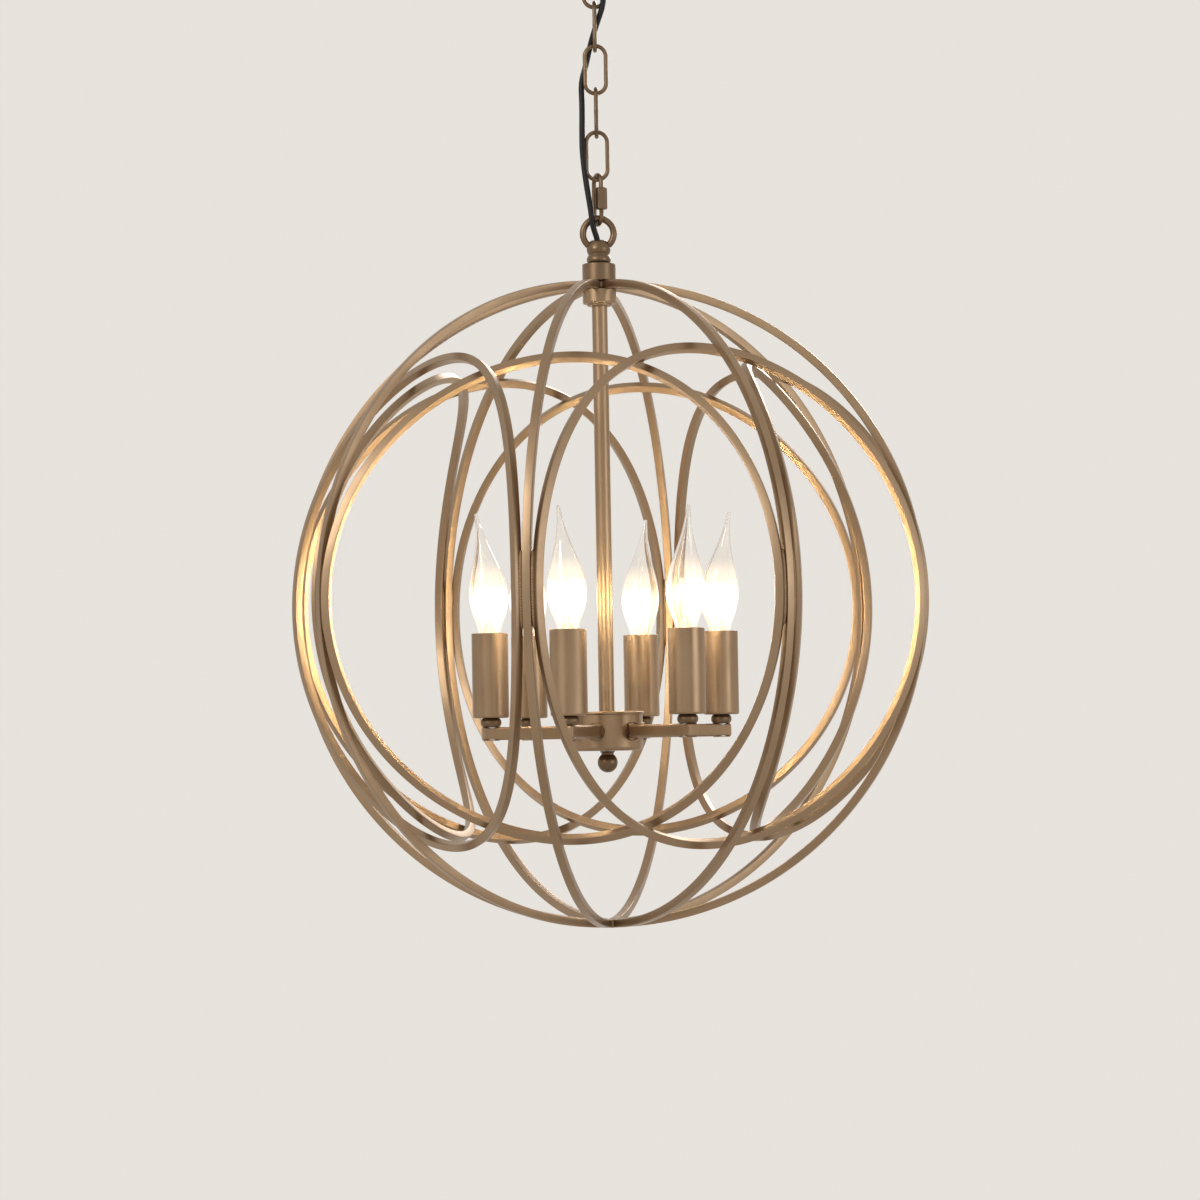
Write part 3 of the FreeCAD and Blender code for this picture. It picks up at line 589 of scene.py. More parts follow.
def hoop(k, rise, tuck):
    """A flat oval of bar rolled over a level cylinder, so that its top and bottom lean in."""
    out, along = outward(rib_azimuth(k)), sideways(rib_azimuth(k))
    tall = HOOP_HALF + rise
    bend = (tall * tall + tuck * tuck) / (2 * tuck)
    stations = []
    for i in range(HOOP_STEPS):
        t = 2 * math.pi * i / HOOP_STEPS
        z = tall * math.sin(t)
        depth = math.sqrt(bend * bend - z * z)
        centre = BALL + out * (HOOP_REACH - bend + depth) + along * (HOOP_HALF * math.cos(t)) + UP * z
        normal = (out * depth + UP * z).normalized()
        climb = tall * math.cos(t)
        forward = along * (-HOOP_HALF * math.sin(t)) + UP * climb
        forward -= out * (z * climb / depth)
        stations.append((centre, normal, forward.cross(normal).normalized()))
    shape = sweep(stations, square_section(BAR, BAR_ROUND), closed=True)
    painted("hoop_bar_%d" % (k + 1), shape, ["hoop_%d" % (k + 1)])


def weld_bead(k, side):
    """A rippled bead on one side of rib k, where it meets a hoop."""
    section = [(x * WELD_DEEP / 2, y * WELD_ACROSS / 2) for x, y in round_section(1, 14)]
    out, along = outward(rib_azimuth(k)), sideways(rib_azimuth(k))
    aside = along * (side * (BAR / 2 + WELD_ASIDE))
    stations, sizes = [], []
    for i in range(WELD_STEPS):
        share = 2 * i / (WELD_STEPS - 1) - 1
        above = WELD_ABOVE + share * WELD_LONG / 2
        t = math.asin(above / BALL_RADIUS)
        normal = out * math.cos(t) + UP * math.sin(t)
        stations.append((BALL + normal * (BALL_RADIUS + WELD_OUT) + aside, normal, along))
        wave = WELD_WAVE * math.sin(2 * math.pi * above / WELD_RIPPLE + k + side)
        sizes.append(max(WELD_END, math.sqrt(1 - share ** 4)) * (WELD_MEAN + wave))
    return sweep(stations, section, swell=lambda i, j: sizes[i])


def weld_beads():
    beads = [weld_bead(k, side) for k in range(RIB_COUNT) for side in (-1, 1)]
    painted("weld_beads", joined(beads), (), WELD, crisp=False)


def hub_weld():
    """Weld metal that fills the roots between the ribs, round each hub."""
    inner, half = HUB_FLAT - HUB_WELD_LAP, BAR / 2 - HUB_WELD_INSET
    outline = rounded([
        (inner, -half, 0), (HUB_WELD, -half, HUB_WELD_ROUND),
        (HUB_WELD, half, HUB_WELD_ROUND), (inner, half, 0),
    ])

    def ripple(i, r):
        return HUB_WELD_WAVE * (1 + math.sin(i * HUB_WELD_STEP))

    rings = [lathe(outline, (0, 0, z), HUB_STEPS, flute=ripple)
             for z in (BALL_Z + BALL_RADIUS, BALL_Z - BALL_RADIUS)]
    painted("hub_weld", joined(rings), (), WELD, crisp=False)


def ball():
    for k in range(RIB_COUNT):
        rib(k)
        if k % 2:
            hoop(k, OUTER_RISE, OUTER_TUCK)
        else:
            hoop(k, INNER_RISE, INNER_TUCK)
    weld_beads()


# --- chain and quick link ---

def oval_length(long, wide, wire):
    """The length of a link's centre line, once round."""
    return 2 * (long - wide + math.pi * (wide - wire) / 2)


def oval_line(long, wide, wire, start, end, count):
    """Points and outward directions of a link's centre line, flat, from the middle of its left leg."""
    ring, straight = (wide - wire) / 2, long - wide
    arc = math.pi * ring
    around = oval_length(long, wide, wire)
    line = []
    for i in range(count):
        s = (start + (end - start) * i / (count - 1)) % around
        if s < straight / 2:
            line.append((-ring, s, -1, 0))
        elif s < straight / 2 + arc:
            t = (s - straight / 2) / ring
            x, y = -math.cos(t), math.sin(t)
            line.append((ring * x, straight / 2 + ring * y, x, y))
        elif s < 1.5 * straight + arc:
            line.append((ring, straight + arc - s, 1, 0))
        elif s < 1.5 * straight + 2 * arc:
            t = (s - 1.5 * straight - arc) / ring
            x, y = math.cos(t), -math.sin(t)
            line.append((ring * x, -straight / 2 + ring * y, x, y))
        else:
            line.append((-ring, s - around, -1, 0))
    return line


def link_stations(line, z, azimuth):
    """The stations of a link whose plane faces an azimuth."""
    right = sideways(azimuth)
    across = outward(azimuth)
    return [(right * x + UP * (z + y), right * dx + UP * dy, across) for x, y, dx, dy in line]


def chain_link(k):
    above_last = LINK_COUNT - k
    azimuth = 0 if above_last % 2 == 0 else 90
    around = oval_length(CHAIN_LONG, CHAIN_WIDE, CHAIN_WIRE)
    end = around * (1 - 1 / LINK_STEPS)
    line = oval_line(CHAIN_LONG, CHAIN_WIDE, CHAIN_WIRE, 0, end, LINK_STEPS)

    def weld_swell(i, j):
        """The butt weld in the middle of the left leg stands a little proud."""
        away = min(i, LINK_STEPS - i) * around / LINK_STEPS
        return 1 + LINK_WELD_PROUD * math.exp(-((away / LINK_WELD_LONG) ** 2))

    stations = link_stations(line, LAST_LINK_Z + above_last * CHAIN_PITCH, azimuth)
    shape = sweep(stations, round_section(CHAIN_WIRE / 2), True, weld_swell)
    name = "chain_link_%d" % k
    painted("oval_link_%d" % k, shape, [name], SHADED_PAINT, body=name, crisp=False)


def quick_link():
    """The link with an opening in its front leg, threaded on both sides for the sleeve nut."""
    low, high = -QUICK_GAP_LOW, -QUICK_GAP_LOW + QUICK_GAP
    around = oval_length(QUICK_LONG, QUICK_WIDE, QUICK_WIRE)
    line = oval_line(QUICK_LONG, QUICK_WIDE, QUICK_WIRE, high, low + around, QUICK_STEPS)
    run, last = around - QUICK_GAP, QUICK_STEPS - 1

    def thread(i, j):
        if min(i, last - i) * run / last > THREAD_LONG:
            return 1
        turn = 2 * math.pi * (i * run / last / THREAD_PITCH + j / WIRE_SIDES)
        return 1 - (0.5 + 0.5 * math.cos(turn)) * THREAD_DEEP / (QUICK_WIRE / 2)

    stations = link_stations(line, QUICK_Z, 90 + QUICK_ANGLE)
    shape = sweep(stations, round_section(QUICK_WIRE / 2), False, thread)
    painted("quick_link_wire", shape, ["quick_link"], SHADED_PAINT, body="quick_link", crisp=False)
    leg = sideways(90 + QUICK_ANGLE) * (-(QUICK_WIDE - QUICK_WIRE) / 2)
    shape = hex_sleeve(leg + UP * (QUICK_Z - SLEEVE_TALL / 2))
    painted("quick_link_sleeve", shape, ["sleeve_nut"], SHADED_PAINT, body="sleeve")


def hex_sleeve(foot):
    """A long hexagon nut with turned ends."""
    flat = SLEEVE_FLATS / 2
    corner, turned = flat / math.cos(math.radians(30)), flat * SLEEVE_END
    turns = [2 * math.pi * i / SLEEVE_SIDES for i in range(SLEEVE_SIDES)]
    # (height, share of the way from the turned end's radius to the corners) up to the middle, then down
    levels = [(0, 0), (SLEEVE_CHAMFER / 2, 0.6), (SLEEVE_CHAMFER, 1), (SLEEVE_TALL / 2, 1)]
    levels += [(SLEEVE_TALL - z, share) for z, share in reversed(levels[:3])]
    rings = []
    for z, share in levels:
        limit = turned + (corner - turned) * share
        reaches = [min(flat / math.cos(math.radians(math.degrees(t) % 60 - 30)), limit) for t in turns]
        rings.append([(reach, t, z) for reach, t in zip(reaches, turns)])
    for z in (SLEEVE_TALL, 0):
        rings.append([(QUICK_WIRE / 2 + SLIP, t, z) for t in turns])
    points = [foot + Vector((r * math.cos(t), r * math.sin(t), z)) for ring in rings for r, t, z in ring]
    faces = []
    for r in range(len(rings)):
        faces += band(r * SLEEVE_SIDES, (r + 1) % len(rings) * SLEEVE_SIDES, SLEEVE_SIDES)
    return points, faces


# --- ceiling fitting ---

def canopy():
    """A spun dish with a short upright rim, and the knurled ring nut that holds it up."""
    rim, inside, wall, hole = CANOPY_RADIUS, CANOPY_RADIUS - CANOPY_WALL, CANOPY_WALL, CANOPY_HOLE
    shoulder, floor, top = rim - CANOPY_SHOULDER_IN, -CANOPY_DEEP, -CANOPY_DEEP + CANOPY_WALL
    dish = rounded([
        (rim, 0, CANOPY_EDGE),
        (rim, -CANOPY_RIM, CANOPY_ROUND),
        (shoulder, -CANOPY_SHOULDER_DOWN, CANOPY_SHOULDER_ROUND),
        (hole + CANOPY_FOOT_OUT, floor + CANOPY_FOOT_RISE, CANOPY_ROUND),
        (hole + CANOPY_FOOT, floor, CANOPY_ROUND),
        (hole, floor, CANOPY_EDGE),
        (hole, top, CANOPY_EDGE),
        (hole + CANOPY_FOOT - CANOPY_FOOT_INSIDE, top, CANOPY_ROUND),
        (hole + CANOPY_FOOT_OUT - CANOPY_FOOT_INSIDE, top + CANOPY_FOOT_RISE, CANOPY_ROUND),
        (shoulder - wall, -CANOPY_SHOULDER_DOWN + wall, CANOPY_SHOULDER_ROUND),
        (inside, -CANOPY_RIM + wall / 2, CANOPY_ROUND),
        (inside, 0, CANOPY_EDGE),
    ])
    painted("canopy_dish", lathe(dish, steps=CANOPY_STEPS), ["canopy"], body="canopy")

    def knurl(i, r):
        return KNURL_DEEP * (i % 2) if r > RING_NUT_RADIUS - KNURL_EDGE else 0

    bore, head = CEILING_COLLAR + SLIP, floor - RING_NUT_DROP
    foot = head - RING_NUT_TALL
    nut = rounded([
        (bore, head, 0), (RING_NUT_RADIUS, head, EASE_LIP),
        (RING_NUT_RADIUS, foot, EASE_ROOT), (bore, foot, EASE_EDGE),
    ])
    shape = lathe(nut, steps=KNURL_STEPS, flute=knurl)
    painted("canopy_knurled_nut", shape, ["canopy_ring_nut"], body="canopy")


# --- hanging loop, collars, drum, stem, finial ---

# the loop's foot as (drop below the ring's middle, radius)
LOOP_FOOT = [
    (0.0055, 0.0032), (0.0055, 0.0058), (0.0068, 0.0075), (0.0095, 0.0087), (0.0122, 0.0093),
    (0.0146, 0.0089), (0.0164, 0.0081), (0.0171, 0.0081), (0.0183, 0.0088), (0.02, 0.0094),
    (0.0218, 0.0092), (0.0232, 0.0084), (0.02385, 0.0076), (0.02385, 0.0032),
]


def hanging_loop():
    """A cast ring on a foot with a shallow waist."""
    stations = []
    for i in range(RING_STEPS):
        t = 2 * math.pi * i / RING_STEPS
        out = Vector((math.cos(t), 0, math.sin(t)))
        stations.append((UP * LOOP_Z + out * LOOP_RADIUS, out, Vector((0, 1, 0))))
    ring = sweep(stations, round_section(LOOP_WIRE / 2, RING_SIDES), closed=True)
    flow = eased([(drop, radius, 0) for drop, radius in LOOP_FOOT[1:-1]], 5)
    (first_drop, first_radius), (last_drop, last_radius) = LOOP_FOOT[0], LOOP_FOOT[-1]
    outline = [(first_radius, -first_drop)] + [(p.y, -p.x) for p in flow] + [(last_radius, -last_drop)]
    foot = lathe(outline, (0, 0, LOOP_Z), steps=64)
    painted("hanging_ring", joined([ring, foot]), ["hanging_loop"], SHADED_PAINT, crisp=False)


def collars():
    """The collar on top of the ribs, and the one with a lip under them."""
    radius, head = COLLAR_RADIUS, RIBS_TOP + UPPER_COLLAR_TALL
    outline = rounded([
        (STEM_BORE, RIBS_TOP, 0), (radius, RIBS_TOP, EASE_SOFT),
        (radius, head, EASE_TOP), (STEM_BORE, head, 0),
    ])
    painted("collar_above_ribs", lathe(outline), ["upper_collar"], SHADED_PAINT)

    under = BALL_Z + math.sqrt((BALL_RADIUS - BAR / 2) ** 2 - radius ** 2) - SLIP
    low, bore = under - LOWER_COLLAR_TALL, STEM_RADIUS + SLIP
    outline = rounded([
        (bore, under, 0), (radius, under, EASE_SOFT), (radius, low, EASE_BELL), (COLLAR_LIP, low, EASE_HAIR),
        (COLLAR_LIP, low - COLLAR_LIP_TALL, EASE_LIP), (bore, low - COLLAR_LIP_TALL, EASE_FINE),
    ])
    painted("collar_under_ribs", lathe(outline), ["lower_collar"])


def drum():
    """The drum's shell, and its cover with a shallow step round the stem."""
    inside, floor = DRUM_RADIUS - DRUM_WALL, DRUM_FOOT + DRUM_WALL
    outline = rounded([
        (ROD_RADIUS, DRUM_FOOT, 0), (DRUM_RADIUS, DRUM_FOOT, EASE_DRUM), (DRUM_RADIUS, DRUM_TOP, EASE_FINE),
        (inside, DRUM_TOP, EASE_FINE), (inside, floor, EASE_ROOT), (ROD_RADIUS, floor, 0),
    ])
    painted("drum_shell", lathe(outline, steps=96), ["drum"])

    outline = rounded([
        (ROD_RADIUS, DRUM_TOP, 0), (LID_RADIUS, DRUM_TOP, EASE_SOFT), (LID_RADIUS, LID_TOP, EASE_TOP),
        (LID_STEP_OUTER, LID_TOP, EASE_EDGE), (LID_STEP_INNER, LID_TOP - LID_STEP, EASE_HAIR),
        (ROD_RADIUS, LID_TOP - LID_STEP, 0),
    ])
    painted("drum_cover", lathe(outline, steps=96), ["drum_lid"])


def stem():
    outline = rounded([
        (STEM_BORE, LID_TOP, 0), (STEM_RADIUS, LID_TOP, EASE_FINE),
        (STEM_RADIUS, RIBS_TOP, 0), (STEM_BORE, RIBS_TOP, 0),
    ])
    painted("stem_tube", lathe(outline, steps=64), ["stem"])


def finial():
    """A ball on a short neck, under the drum."""
    foot, neck, count = DRUM_FOOT, DRUM_FOOT - FINIAL_NECK_TALL, 24
    outline = [(0, foot)]
    outline += rounded([(FINIAL_NECK, foot, EASE_FINE), (FINIAL_NECK, neck, EASE_FINE)], 3)
    outline += [(FINIAL_GROOVE, foot - FINIAL_GROOVE_TOP), (FINIAL_GROOVE, foot - FINIAL_GROOVE_LOW)]
    begin = math.asin(FINIAL_GROOVE / FINIAL_RADIUS)
    for i in range(count + 1):
        t = begin + (math.pi - begin) * i / count
        outline.append((FINIAL_RADIUS * math.sin(t), foot - FINIAL_DROP + FINIAL_RADIUS * math.cos(t)))
    painted("finial_ball", lathe(outline, closed=False), ["finial"], SHADED_PAINT)


# --- arms and cups ---

def arm(k):
    """A square beam with a rounded end. The round boss at the drum has a thin raised edge."""
    out, along = outward(arm_azimuth(k)), sideways(arm_azimuth(k))
    start, end = math.sqrt(DRUM_RADIUS ** 2 - ARM_WIDE ** 2 / 4) + ARM_GAP, CUP_CIRCLE + ARM_PAST
    turns = [math.radians(a) for a in range(0, 91, 15)]
    places = [start, start + ARM_STEP] + [end - ARM_ROUND * (1 - math.sin(t)) for t in turns]
    sizes = [1, 1] + [1 - 2 * ARM_ROUND * (1 - math.cos(t)) / ARM_WIDE for t in turns]
    stations = [(UP * ARM_Z + out * x, along, UP) for x in places]
    beam = sweep(stations, square_section(ARM_WIDE, ARM_ROUND, 5), swell=lambda i, j: sizes[i])
    wall = rounded([(BOSS_RADIUS, -BOSS_SUNK, 0), (BOSS_RADIUS, BOSS_PROUD, BOSS_EDGE)], 8)
    outline = [(0, wall[0][1])] + wall + [(0, wall[-1][1])]
    foot, turn = UP * ARM_Z + out * DRUM_RADIUS, UP.rotation_difference(out)
    boss = lathe(outline, foot, steps=48, closed=False, axis=turn)
    painted("arm_beam_%d" % (k + 1), joined([beam, boss]), ["arm_%d" % (k + 1)])


def cup(k):
    inner, floor = CUP_RADIUS - CUP_WALL, CUP_Z + CUP_FLOOR
    outline = rounded([
        (CUP_HOLE, CUP_Z, 0), (CUP_RADIUS, CUP_Z, EASE_CUP), (CUP_RADIUS, MOUTH_Z, EASE_EDGE),
        (inner, MOUTH_Z, EASE_EDGE), (inner, floor, EASE_FLOOR), (CUP_HOLE, floor, 0),
    ])
    painted("candle_sleeve_%d" % (k + 1), lathe(outline, cup_axis(k)), ["candle_cup_%d" % (k + 1)])


def bead_outline():
    """A turned bead between arm and cup. Its side is an oval's arc, BEAD_BULGE degrees up and down."""
    half, middle, count = SPACER_TALL / 2, CUP_Z - SPACER_TALL / 2, 24
    outline = [(TUBE_RADIUS, CUP_Z - SPACER_TALL)]
    for i in range(count + 1):
        t = math.radians(BEAD_BULGE * (2 * i / count - 1))
        z = middle + half * math.sin(t) / math.sin(math.radians(BEAD_BULGE))
        outline.append((BEAD_RADIUS - half + half * math.cos(t), z))
    return outline + [(TUBE_RADIUS, CUP_Z)]


def arm_tubes():
    """A bead under each cup, and the threaded tube through cup, bead and arm with its flat nut."""
    low = ARM_Z - ARM_WIDE / 2
    foot = low - NUT_PROUD
    tube = [(TUBE_BORE, foot), (TUBE_RADIUS, foot), (TUBE_RADIUS, TUBE_TOP), (TUBE_BORE, TUBE_TOP)]
    nut = rounded([
        (TUBE_RADIUS, low, 0), (NUT_RADIUS, low, 0), (NUT_RADIUS, foot, EASE_FINE), (TUBE_RADIUS, foot, 0),
    ])
    for name, outline, steps, finish, slot, nodes in (
        ("cup_beads", bead_outline(), 48, SHADED_PAINT, "painted_frame", ["cup_spacers"]),
        ("arm_threaded_tubes", tube, 32, ZINC, "zinc_steel", ["arm_tubes_and_nuts"]),
        ("arm_flat_nuts", nut, 48, PAINT, "painted_frame", []),
    ):
        shapes = [lathe(outline, cup_axis(k), steps) for k in range(ARM_COUNT)]
        piece(name, joined(shapes), finish, "fixture", nodes)


# --- lamps ---

# the glass as (share of its height, radius, share of its bend)
LAMP_SHAPE = [
    (0.0, LAMP_NECK, 0), (0.06, 0.0095, 0), (0.18, 0.0133, 0), (0.31, 0.015, 0.04), (0.46, 0.0131, 0.13),
    (0.6, 0.0091, 0.3), (0.72, 0.0057, 0.5), (0.84, 0.0032, 0.72), (0.94, 0.0019, 0.9), (1.0, 0.0013, 1.0),
]
# the cap's contact as (radius, height above its foot), and its collar as (radius, height)
CAP_CONTACT = [(0, 0), (0.0018, 0), (0.0024, 0.0012), (0.0057, 0.003)]
CAP_COLLAR = [(CAP_RADIUS, -0.0046), (CAP_RADIUS, -0.0014), (0.0063, -0.0004), (0, -0.0004)]
# the glass stem as (radius, height, rounding), and its pinched tip as (radius, height)
STEM_FOOT = [(0.0001, 0, 0), (0.0052, 0, 0.001), (0.0022, 0.009, 0.002), (0.0017, 0.019, 0.0008)]
STEM_TIP = [(0.0017, 0.0195), (0.0009, 0.0204), (0, 0.0206)]
# one side of the filament, from its middle outward, and of its lead, as (across, height)
HOT_SIDE = [(0.0012, 0.0255), (0.0038, 0.0325), (0.0062, 0.0245)]
LEAD_SIDE = [(0.001, 0.0195), (0.0035, 0.022)]


def glass_skin(lean, inward):
    """The bulb's skin, round the lamp's own axis, with the tip drifting out to one side."""
    points, faces = [], []
    line = eased(LAMP_SHAPE, 6)
    for up, radius, drift in line:
        radius = max(radius - inward, LAMP_THINNEST)
        height = up * LAMP_TALL - (inward if up > LAMP_TIP_SHARE else 0)
        centre = lean * (LAMP_BEND * drift) + UP * height
        for i in range(LAMP_STEPS):
            t = 2 * math.pi * i / LAMP_STEPS
            points.append(centre + Vector((radius * math.cos(t), radius * math.sin(t), 0)))
    for r in range(len(line) - 1):
        faces += band(r * LAMP_STEPS, (r + 1) * LAMP_STEPS, LAMP_STEPS)
    last = (len(line) - 1) * LAMP_STEPS
    middle = points[last].lerp(points[last + LAMP_STEPS // 2], 0.5)
    points.append(middle + UP * (0.0 if inward else LAMP_TIP))
    faces += [(last + i, last + (i + 1) % LAMP_STEPS, len(points) - 1) for i in range(LAMP_STEPS)]
    return points, faces


def bulb_glass(lean):
    """Outer and inner skin, joined round the open neck."""
    outer, inner = glass_skin(lean, 0), glass_skin(lean, LAMP_WALL)
    points, faces = joined([outer, inner])
    return points, faces + band(0, len(outer[0]), LAMP_STEPS)


def bulb_cap():
    """A screw cap: contact, thread and collar."""
    outline = [(r, z - CAP_TALL) for r, z in CAP_CONTACT]
    for i in range(CAP_THREAD_STEPS):
        z = CAP_THREAD_FOOT - CAP_TALL + i * CAP_THREAD_TALL / (CAP_THREAD_STEPS - 1)
        cut = 0.5 + 0.5 * math.cos(2 * math.pi * z / CAP_THREAD_PITCH)
        outline.append((CAP_RADIUS - CAP_THREAD_DEEP * cut, z))
    return lathe(outline + CAP_COLLAR, steps=48, closed=False)


def bulb_stem():
    outline = rounded(STEM_FOOT, 4) + STEM_TIP
    return lathe([(0, 0)] + outline[1:], steps=24, closed=False)


def wire(corners, front, radius, steps):
    line = eased(corners, steps)
    ups = [heading(line, i).cross(front).normalized() for i in range(len(line))]
    return sweep([(centre, front, up) for centre, up in zip(line, ups)], round_section(radius, 8))


def coil(corners, front, radius, thick, turns):
    """A fine helix wound along a line."""
    line = eased(corners, turns * COIL_STEPS // (len(corners) - 1))
    wound = []
    for i, centre in enumerate(line):
        up = heading(line, i).cross(front).normalized()
        t = 2 * math.pi * i / COIL_STEPS
        wound.append(centre + front * (radius * math.cos(t)) + up * (radius * math.sin(t)))
    stations = []
    for i, centre in enumerate(wound):
        ahead = heading(wound, i)
        side = stations[-1][1] if stations else ahead.orthogonal().normalized()
        side = (side - ahead * side.dot(ahead)).normalized()
        stations.append((centre, side, ahead.cross(side)))
    return sweep(stations, round_section(thick, 6))


def lamp(k):
    """A bulb: glass, cap, glass stem, two leads and a coiled filament in the form of an M."""
    front, across = outward(arm_azimuth(k)), sideways(arm_azimuth(k))
    hot = [(-x, z) for x, z in reversed(HOT_SIDE)] + HOT_SIDE
    hot_line = [across * x + UP * z for x, z in hot]
    leads = []
    for side, end in ((-1, hot_line[0]), (1, hot_line[-1])):
        lead = [across * (side * x) + UP * z for x, z in LEAD_SIDE] + [end]
        leads.append(wire(lead, front, LEAD_RADIUS, 3))
    filament = coil(hot_line, front, COIL_RADIUS, COIL_WIRE, COIL_TURNS)
    glass = bulb_glass(outward(arm_azimuth(k) + LAMP_ANGLE))
    body = "bulb_%d" % (k + 1)
    place = cup_axis(k) + UP * (MOUTH_Z + LAMP_GAP)
    for name, shape, material, nodes in (
        ("bulb_glass_%d", glass, GLASS, [body]),
        ("bulb_cap_%d", bulb_cap(), NICKEL, ()),
        ("bulb_stem_%d", bulb_stem(), STEM_GLASS, ()),
        ("bulb_leads_%d", joined(leads), NICKEL, ()),
        ("bulb_filament_%d", filament, FILAMENT, ()),
    ):
        made = piece(name % (k + 1), shape, material, body, nodes, place, crisp=False)
        if material is GLASS:
            made.visible_shadow = False


# --- supply cord ---

CORD_ROUTE = [
    (-0.0075, 0, -0.0238), (-0.0075, 0, -0.0368), (-0.0075, -0.0046, -0.0499),
    (-0.0055, -0.0058, -0.0599), (0.0025, -0.006, -0.072), (0.007, -0.0055, -0.083),
    (0.0068, -0.0046, -0.091), (0.0008, -0.0024, -0.1066), (-0.004, 0.0046, -0.121),
    (-0.0075, 0.005, -0.1361), (-0.0115, 0.0035, -0.15), (-0.0108, 0, -0.1679),
    (-0.0113, -0.0032, -0.19), (-0.0113, -0.0036, -0.2059), (-0.009, -0.0044, -0.228),
    (-0.0056, -0.0054, -0.25), (-0.005, -0.0054, -0.2559), (-0.0042, -0.0046, -0.2631),
    (-0.001, -0.0013, -0.2725), (0, 0, -0.279), (0, 0, -0.2921),
]


def cord_line():
    """The cord's smooth centre line: a NURBS spline on the route's points."""
    data = bpy.data.curves.new("cord_route", "CURVE")
    data.dimensions = "3D"
    data.resolution_u = 12
    spline = data.splines.new("NURBS")
    spline.points.add(len(CORD_ROUTE) - 1)
    for point, place in zip(spline.points, CORD_ROUTE):
        point.co = (*place, 1)
    spline.order_u = 3
    spline.use_endpoint_u = True
    made = placed("cord_route", data)
    bpy.context.view_layer.update()
    mesh = bpy.data.meshes.new_from_object(made)
    line = [v.co.copy() for v in mesh.vertices]
    bpy.data.objects.remove(made)
    bpy.data.meshes.remove(mesh)
    return line


def cut_at(line, heights):
    """Splits a falling line into stretches that end exactly at some heights."""
    stretches, here = [], [line[0]]
    waiting = list(heights)
    for a, b in zip(line, line[1:]):
        while waiting and b.z < waiting[0] <= a.z:
            p = a.lerp(b, (a.z - waiting[0]) / (a.z - b.z))
            here.append(p)
            stretches.append(here)
            here = [p]
            waiting.pop(0)
        if (b - here[-1]).length > 1e-6:
            here.append(b)
    stretches.append(here)
    return stretches


def course(whole, place):
    """The direction of the whole falling line at a place on it, on which neighbouring stretches agree."""
    for i in range(1, len(whole)):
        if whole[i].z <= place.z + 1e-9:
            break
    first = (whole[i] - whole[i - 1]).normalized()
    if abs(whole[i].z - place.z) > 1e-7:
        return first
    later = whole[min(i + 1, len(whole) - 1)] - whole[i]
    return (first + later.normalized()).normalized() if later.length > 1e-9 else first


def round_normals(mesh, stations):
    """Points a tube's side normals straight out from its line, so that it shades as one with the next."""
    normals = []
    for face in mesh.polygons:
        for corner in face.loop_indices:
            vertex = mesh.loops[corner].vertex_index
            out = mesh.vertices[vertex].co - stations[vertex // CORD_SIDES][0]
            normals.append(face.normal if len(face.vertices) > 4 else out.normalized())
    mesh.normals_split_custom_set([tuple(n) for n in normals])


def cord_pivots():
    """The heights at which the chain turns, from the ceiling loop down to the hanging loop."""
    reach = CHAIN_LONG - CHAIN_WIRE
    first = LAST_LINK_Z + (LINK_COUNT - 1) * CHAIN_PITCH + reach / 2
    pivots = [first - reach - k * CHAIN_PITCH for k in range(LINK_COUNT)]
    return [CEILING_PIVOT] + pivots + [QUICK_Z - (QUICK_LONG - QUICK_WIRE) / 2]


def cord():
    """The cord in stretches, cut between the chain's swinging joints, so that each stretch crosses one
    joint.
    """
    pivots = cord_pivots()
    middles = [(a + b) / 2 for a, b in zip(pivots, pivots[1:])]
    whole = cord_line()
    side = Vector((0, 1, 0))
    for number, line in enumerate(cut_at(whole, middles)):
        stations = []
        for centre in line:
            ahead = course(whole, centre)
            across = (side - ahead * side.dot(ahead)).normalized()
            stations.append((centre, across, ahead.cross(across)))
        shape = sweep(stations, round_section(CORD_WIDE / 2, CORD_SIDES))
        name = "supply_cord_%d" % (number + 1)
        replaced = ["supply_cord"] if number == 0 else []
        made = piece(name, shape, JACKET, None, replaced, crisp=False)
        round_normals(made.data, stations)
        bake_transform(made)


# --- solids that keep their own shape ---

def finish_solids():
    kept = {
        "mounting_bracket": ZINC, "ceiling_nipple": ZINC, "hub_rod": ZINC,
        "ceiling_loop": SHADED_PAINT, "rib_hubs": PAINT, "lamp_holders": PHENOLIC,
    }
    for solid in bpy.data.objects:
        if solid.get("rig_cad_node") in kept:
            solid.data.materials.clear()
            solid.data.materials.append(kept[solid["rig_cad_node"]])


# --- stage, light and camera ---

def background_strength(tree):
    """One level of the background for the eye, for mirrors and for glass, and another for lighting."""
    add, link = tree.nodes.new, tree.links.new
    path = add("ShaderNodeLightPath")
    seen = path.outputs["Is Camera Ray"]
    for ray in ("Is Glossy Ray", "Is Transmission Ray"):
        either = add("ShaderNodeMath")
        either.operation = "MAXIMUM"
        link(seen, either.inputs[0])
        link(path.outputs[ray], either.inputs[1])
        seen = either.outputs[0]
    level = add("ShaderNodeMapRange")
    level.inputs["To Min"].default_value = WORLD_LIGHT
    level.inputs["To Max"].default_value = WORLD_SEEN
    link(seen, level.inputs["Value"])
    return level.outputs["Result"]


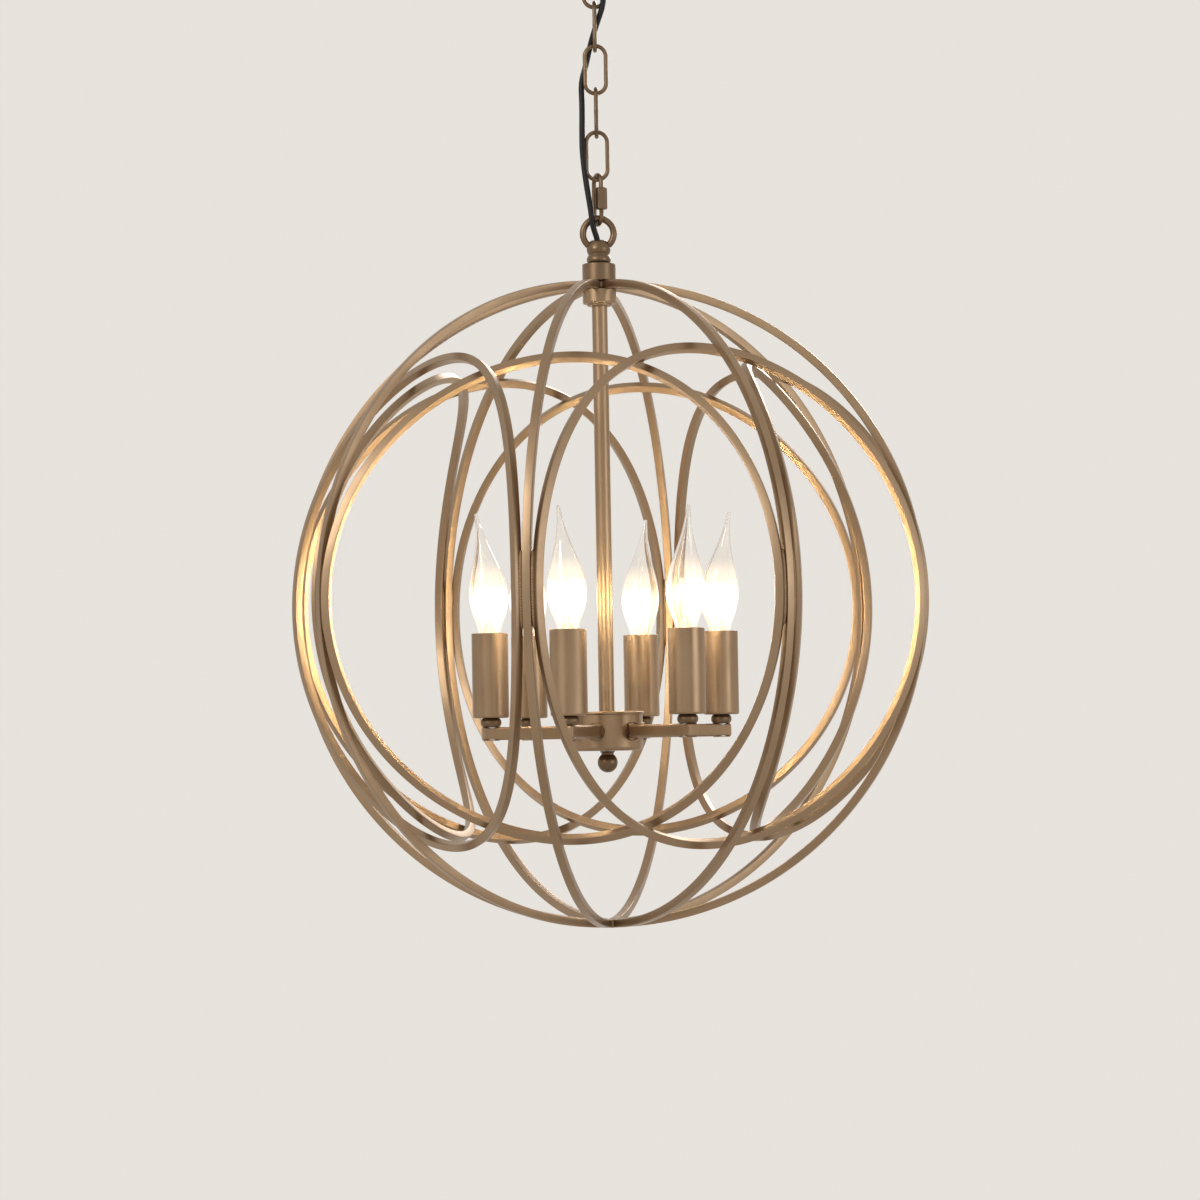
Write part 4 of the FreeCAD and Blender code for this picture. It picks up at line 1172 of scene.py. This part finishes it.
def floor_finish():
    """Pale and matt, and fading into the background's own colour away from the middle."""
    n = Nodes("pale_floor")
    n.set("Base Color", (*PALE, 1))
    n.set("Roughness", 0.9)
    glow = n.add("ShaderNodeEmission")
    glow.inputs["Color"].default_value = (*PALE, 1)
    distance = n.add("ShaderNodeVectorMath", operation="LENGTH")
    n.link(n.place, distance.inputs[0])
    blend = n.add("ShaderNodeMixShader")
    fade = n.between(distance.outputs["Value"], 0, 1, FLOOR_FADE_START, FLOOR_FADE_END)
    n.link(fade, blend.inputs["Fac"])
    n.link(n.shader.outputs["BSDF"], blend.inputs[1])
    n.link(glow.outputs["Emission"], blend.inputs[2])
    n.link(blend.outputs["Shader"], n.output.inputs["Surface"])
    return n.material


def stage():
    world = bpy.data.worlds.new("Studio")
    bpy.context.scene.world = world
    world.use_nodes = True
    back = world.node_tree.nodes["Background"]
    back.inputs["Color"].default_value = (*PALE, 1)
    world.node_tree.links.new(background_strength(world.node_tree), back.inputs["Strength"])

    mesh = bpy.data.meshes.new("floor")
    corners = [(x * FLOOR_HALF, y * FLOOR_HALF, FLOOR_Z) for x, y in ((-1, -1), (1, -1), (1, 1), (-1, 1))]
    mesh.from_pydata(corners, [], [(0, 1, 2, 3)])
    floor = placed("floor", mesh)
    mesh.materials.append(floor_finish())


def lamp_light(name, place, wide, power, colour):
    """A round area light that faces the ball."""
    data = bpy.data.lights.new(name, "AREA")
    data.shape = "DISK"
    data.size = wide
    data.energy = power
    data.color = colour
    made = placed(name, data)
    made.location = place
    made.rotation_mode = "QUATERNION"
    made.rotation_quaternion = (BALL - Vector(place)).to_track_quat("-Z", "Y")


def lights():
    lamp_light("key", place=(-1.9, -2.2, 0.9), wide=1.4, power=32, colour=WARM_LIGHT)
    lamp_light("fill", place=(2.4, -1.6, -0.2), wide=1.6, power=11, colour=COOL_LIGHT)
    lamp_light("rim", place=(0.8, 2.4, 0.7), wide=1.2, power=26, colour=WARM_LIGHT)


def camera():
    data = bpy.data.cameras.new("Camera")
    data.lens = CAMERA_LENS
    data.sensor_width = CAMERA_SENSOR
    data.shift_x = (PHOTO_WIDE / 2 - BALL_PIXEL_X) / PHOTO_WIDE
    data.shift_y = (BALL_PIXEL_Y - PHOTO_WIDE / 2) / PHOTO_WIDE
    data.clip_start, data.clip_end = 0.05, 100
    made = placed("Camera", data)
    rise = math.radians(CAMERA_ELEVATION)
    made.location = BALL + Vector((0, -math.cos(rise), math.sin(rise))) * CAMERA_FAR
    look = (BALL - made.location).to_track_quat("-Z", "Y")
    made.rotation_mode = "QUATERNION"
    made.rotation_quaternion = look @ Quaternion((0, 0, 1), math.radians(CAMERA_ROLL))
    bpy.context.scene.camera = made


def build():
    camera()
    cord()
    canopy()
    for k in range(1, LINK_COUNT + 1):
        chain_link(k)
    quick_link()
    ball()
    hanging_loop()
    collars()
    drum()
    stem()
    finial()
    hub_weld()
    arm_tubes()
    for k in range(ARM_COUNT):
        arm(k)
        cup(k)
        lamp(k)
    finish_solids()
    stage()
    lights()
    bpy.context.scene.view_settings.view_transform = "Standard"


build()
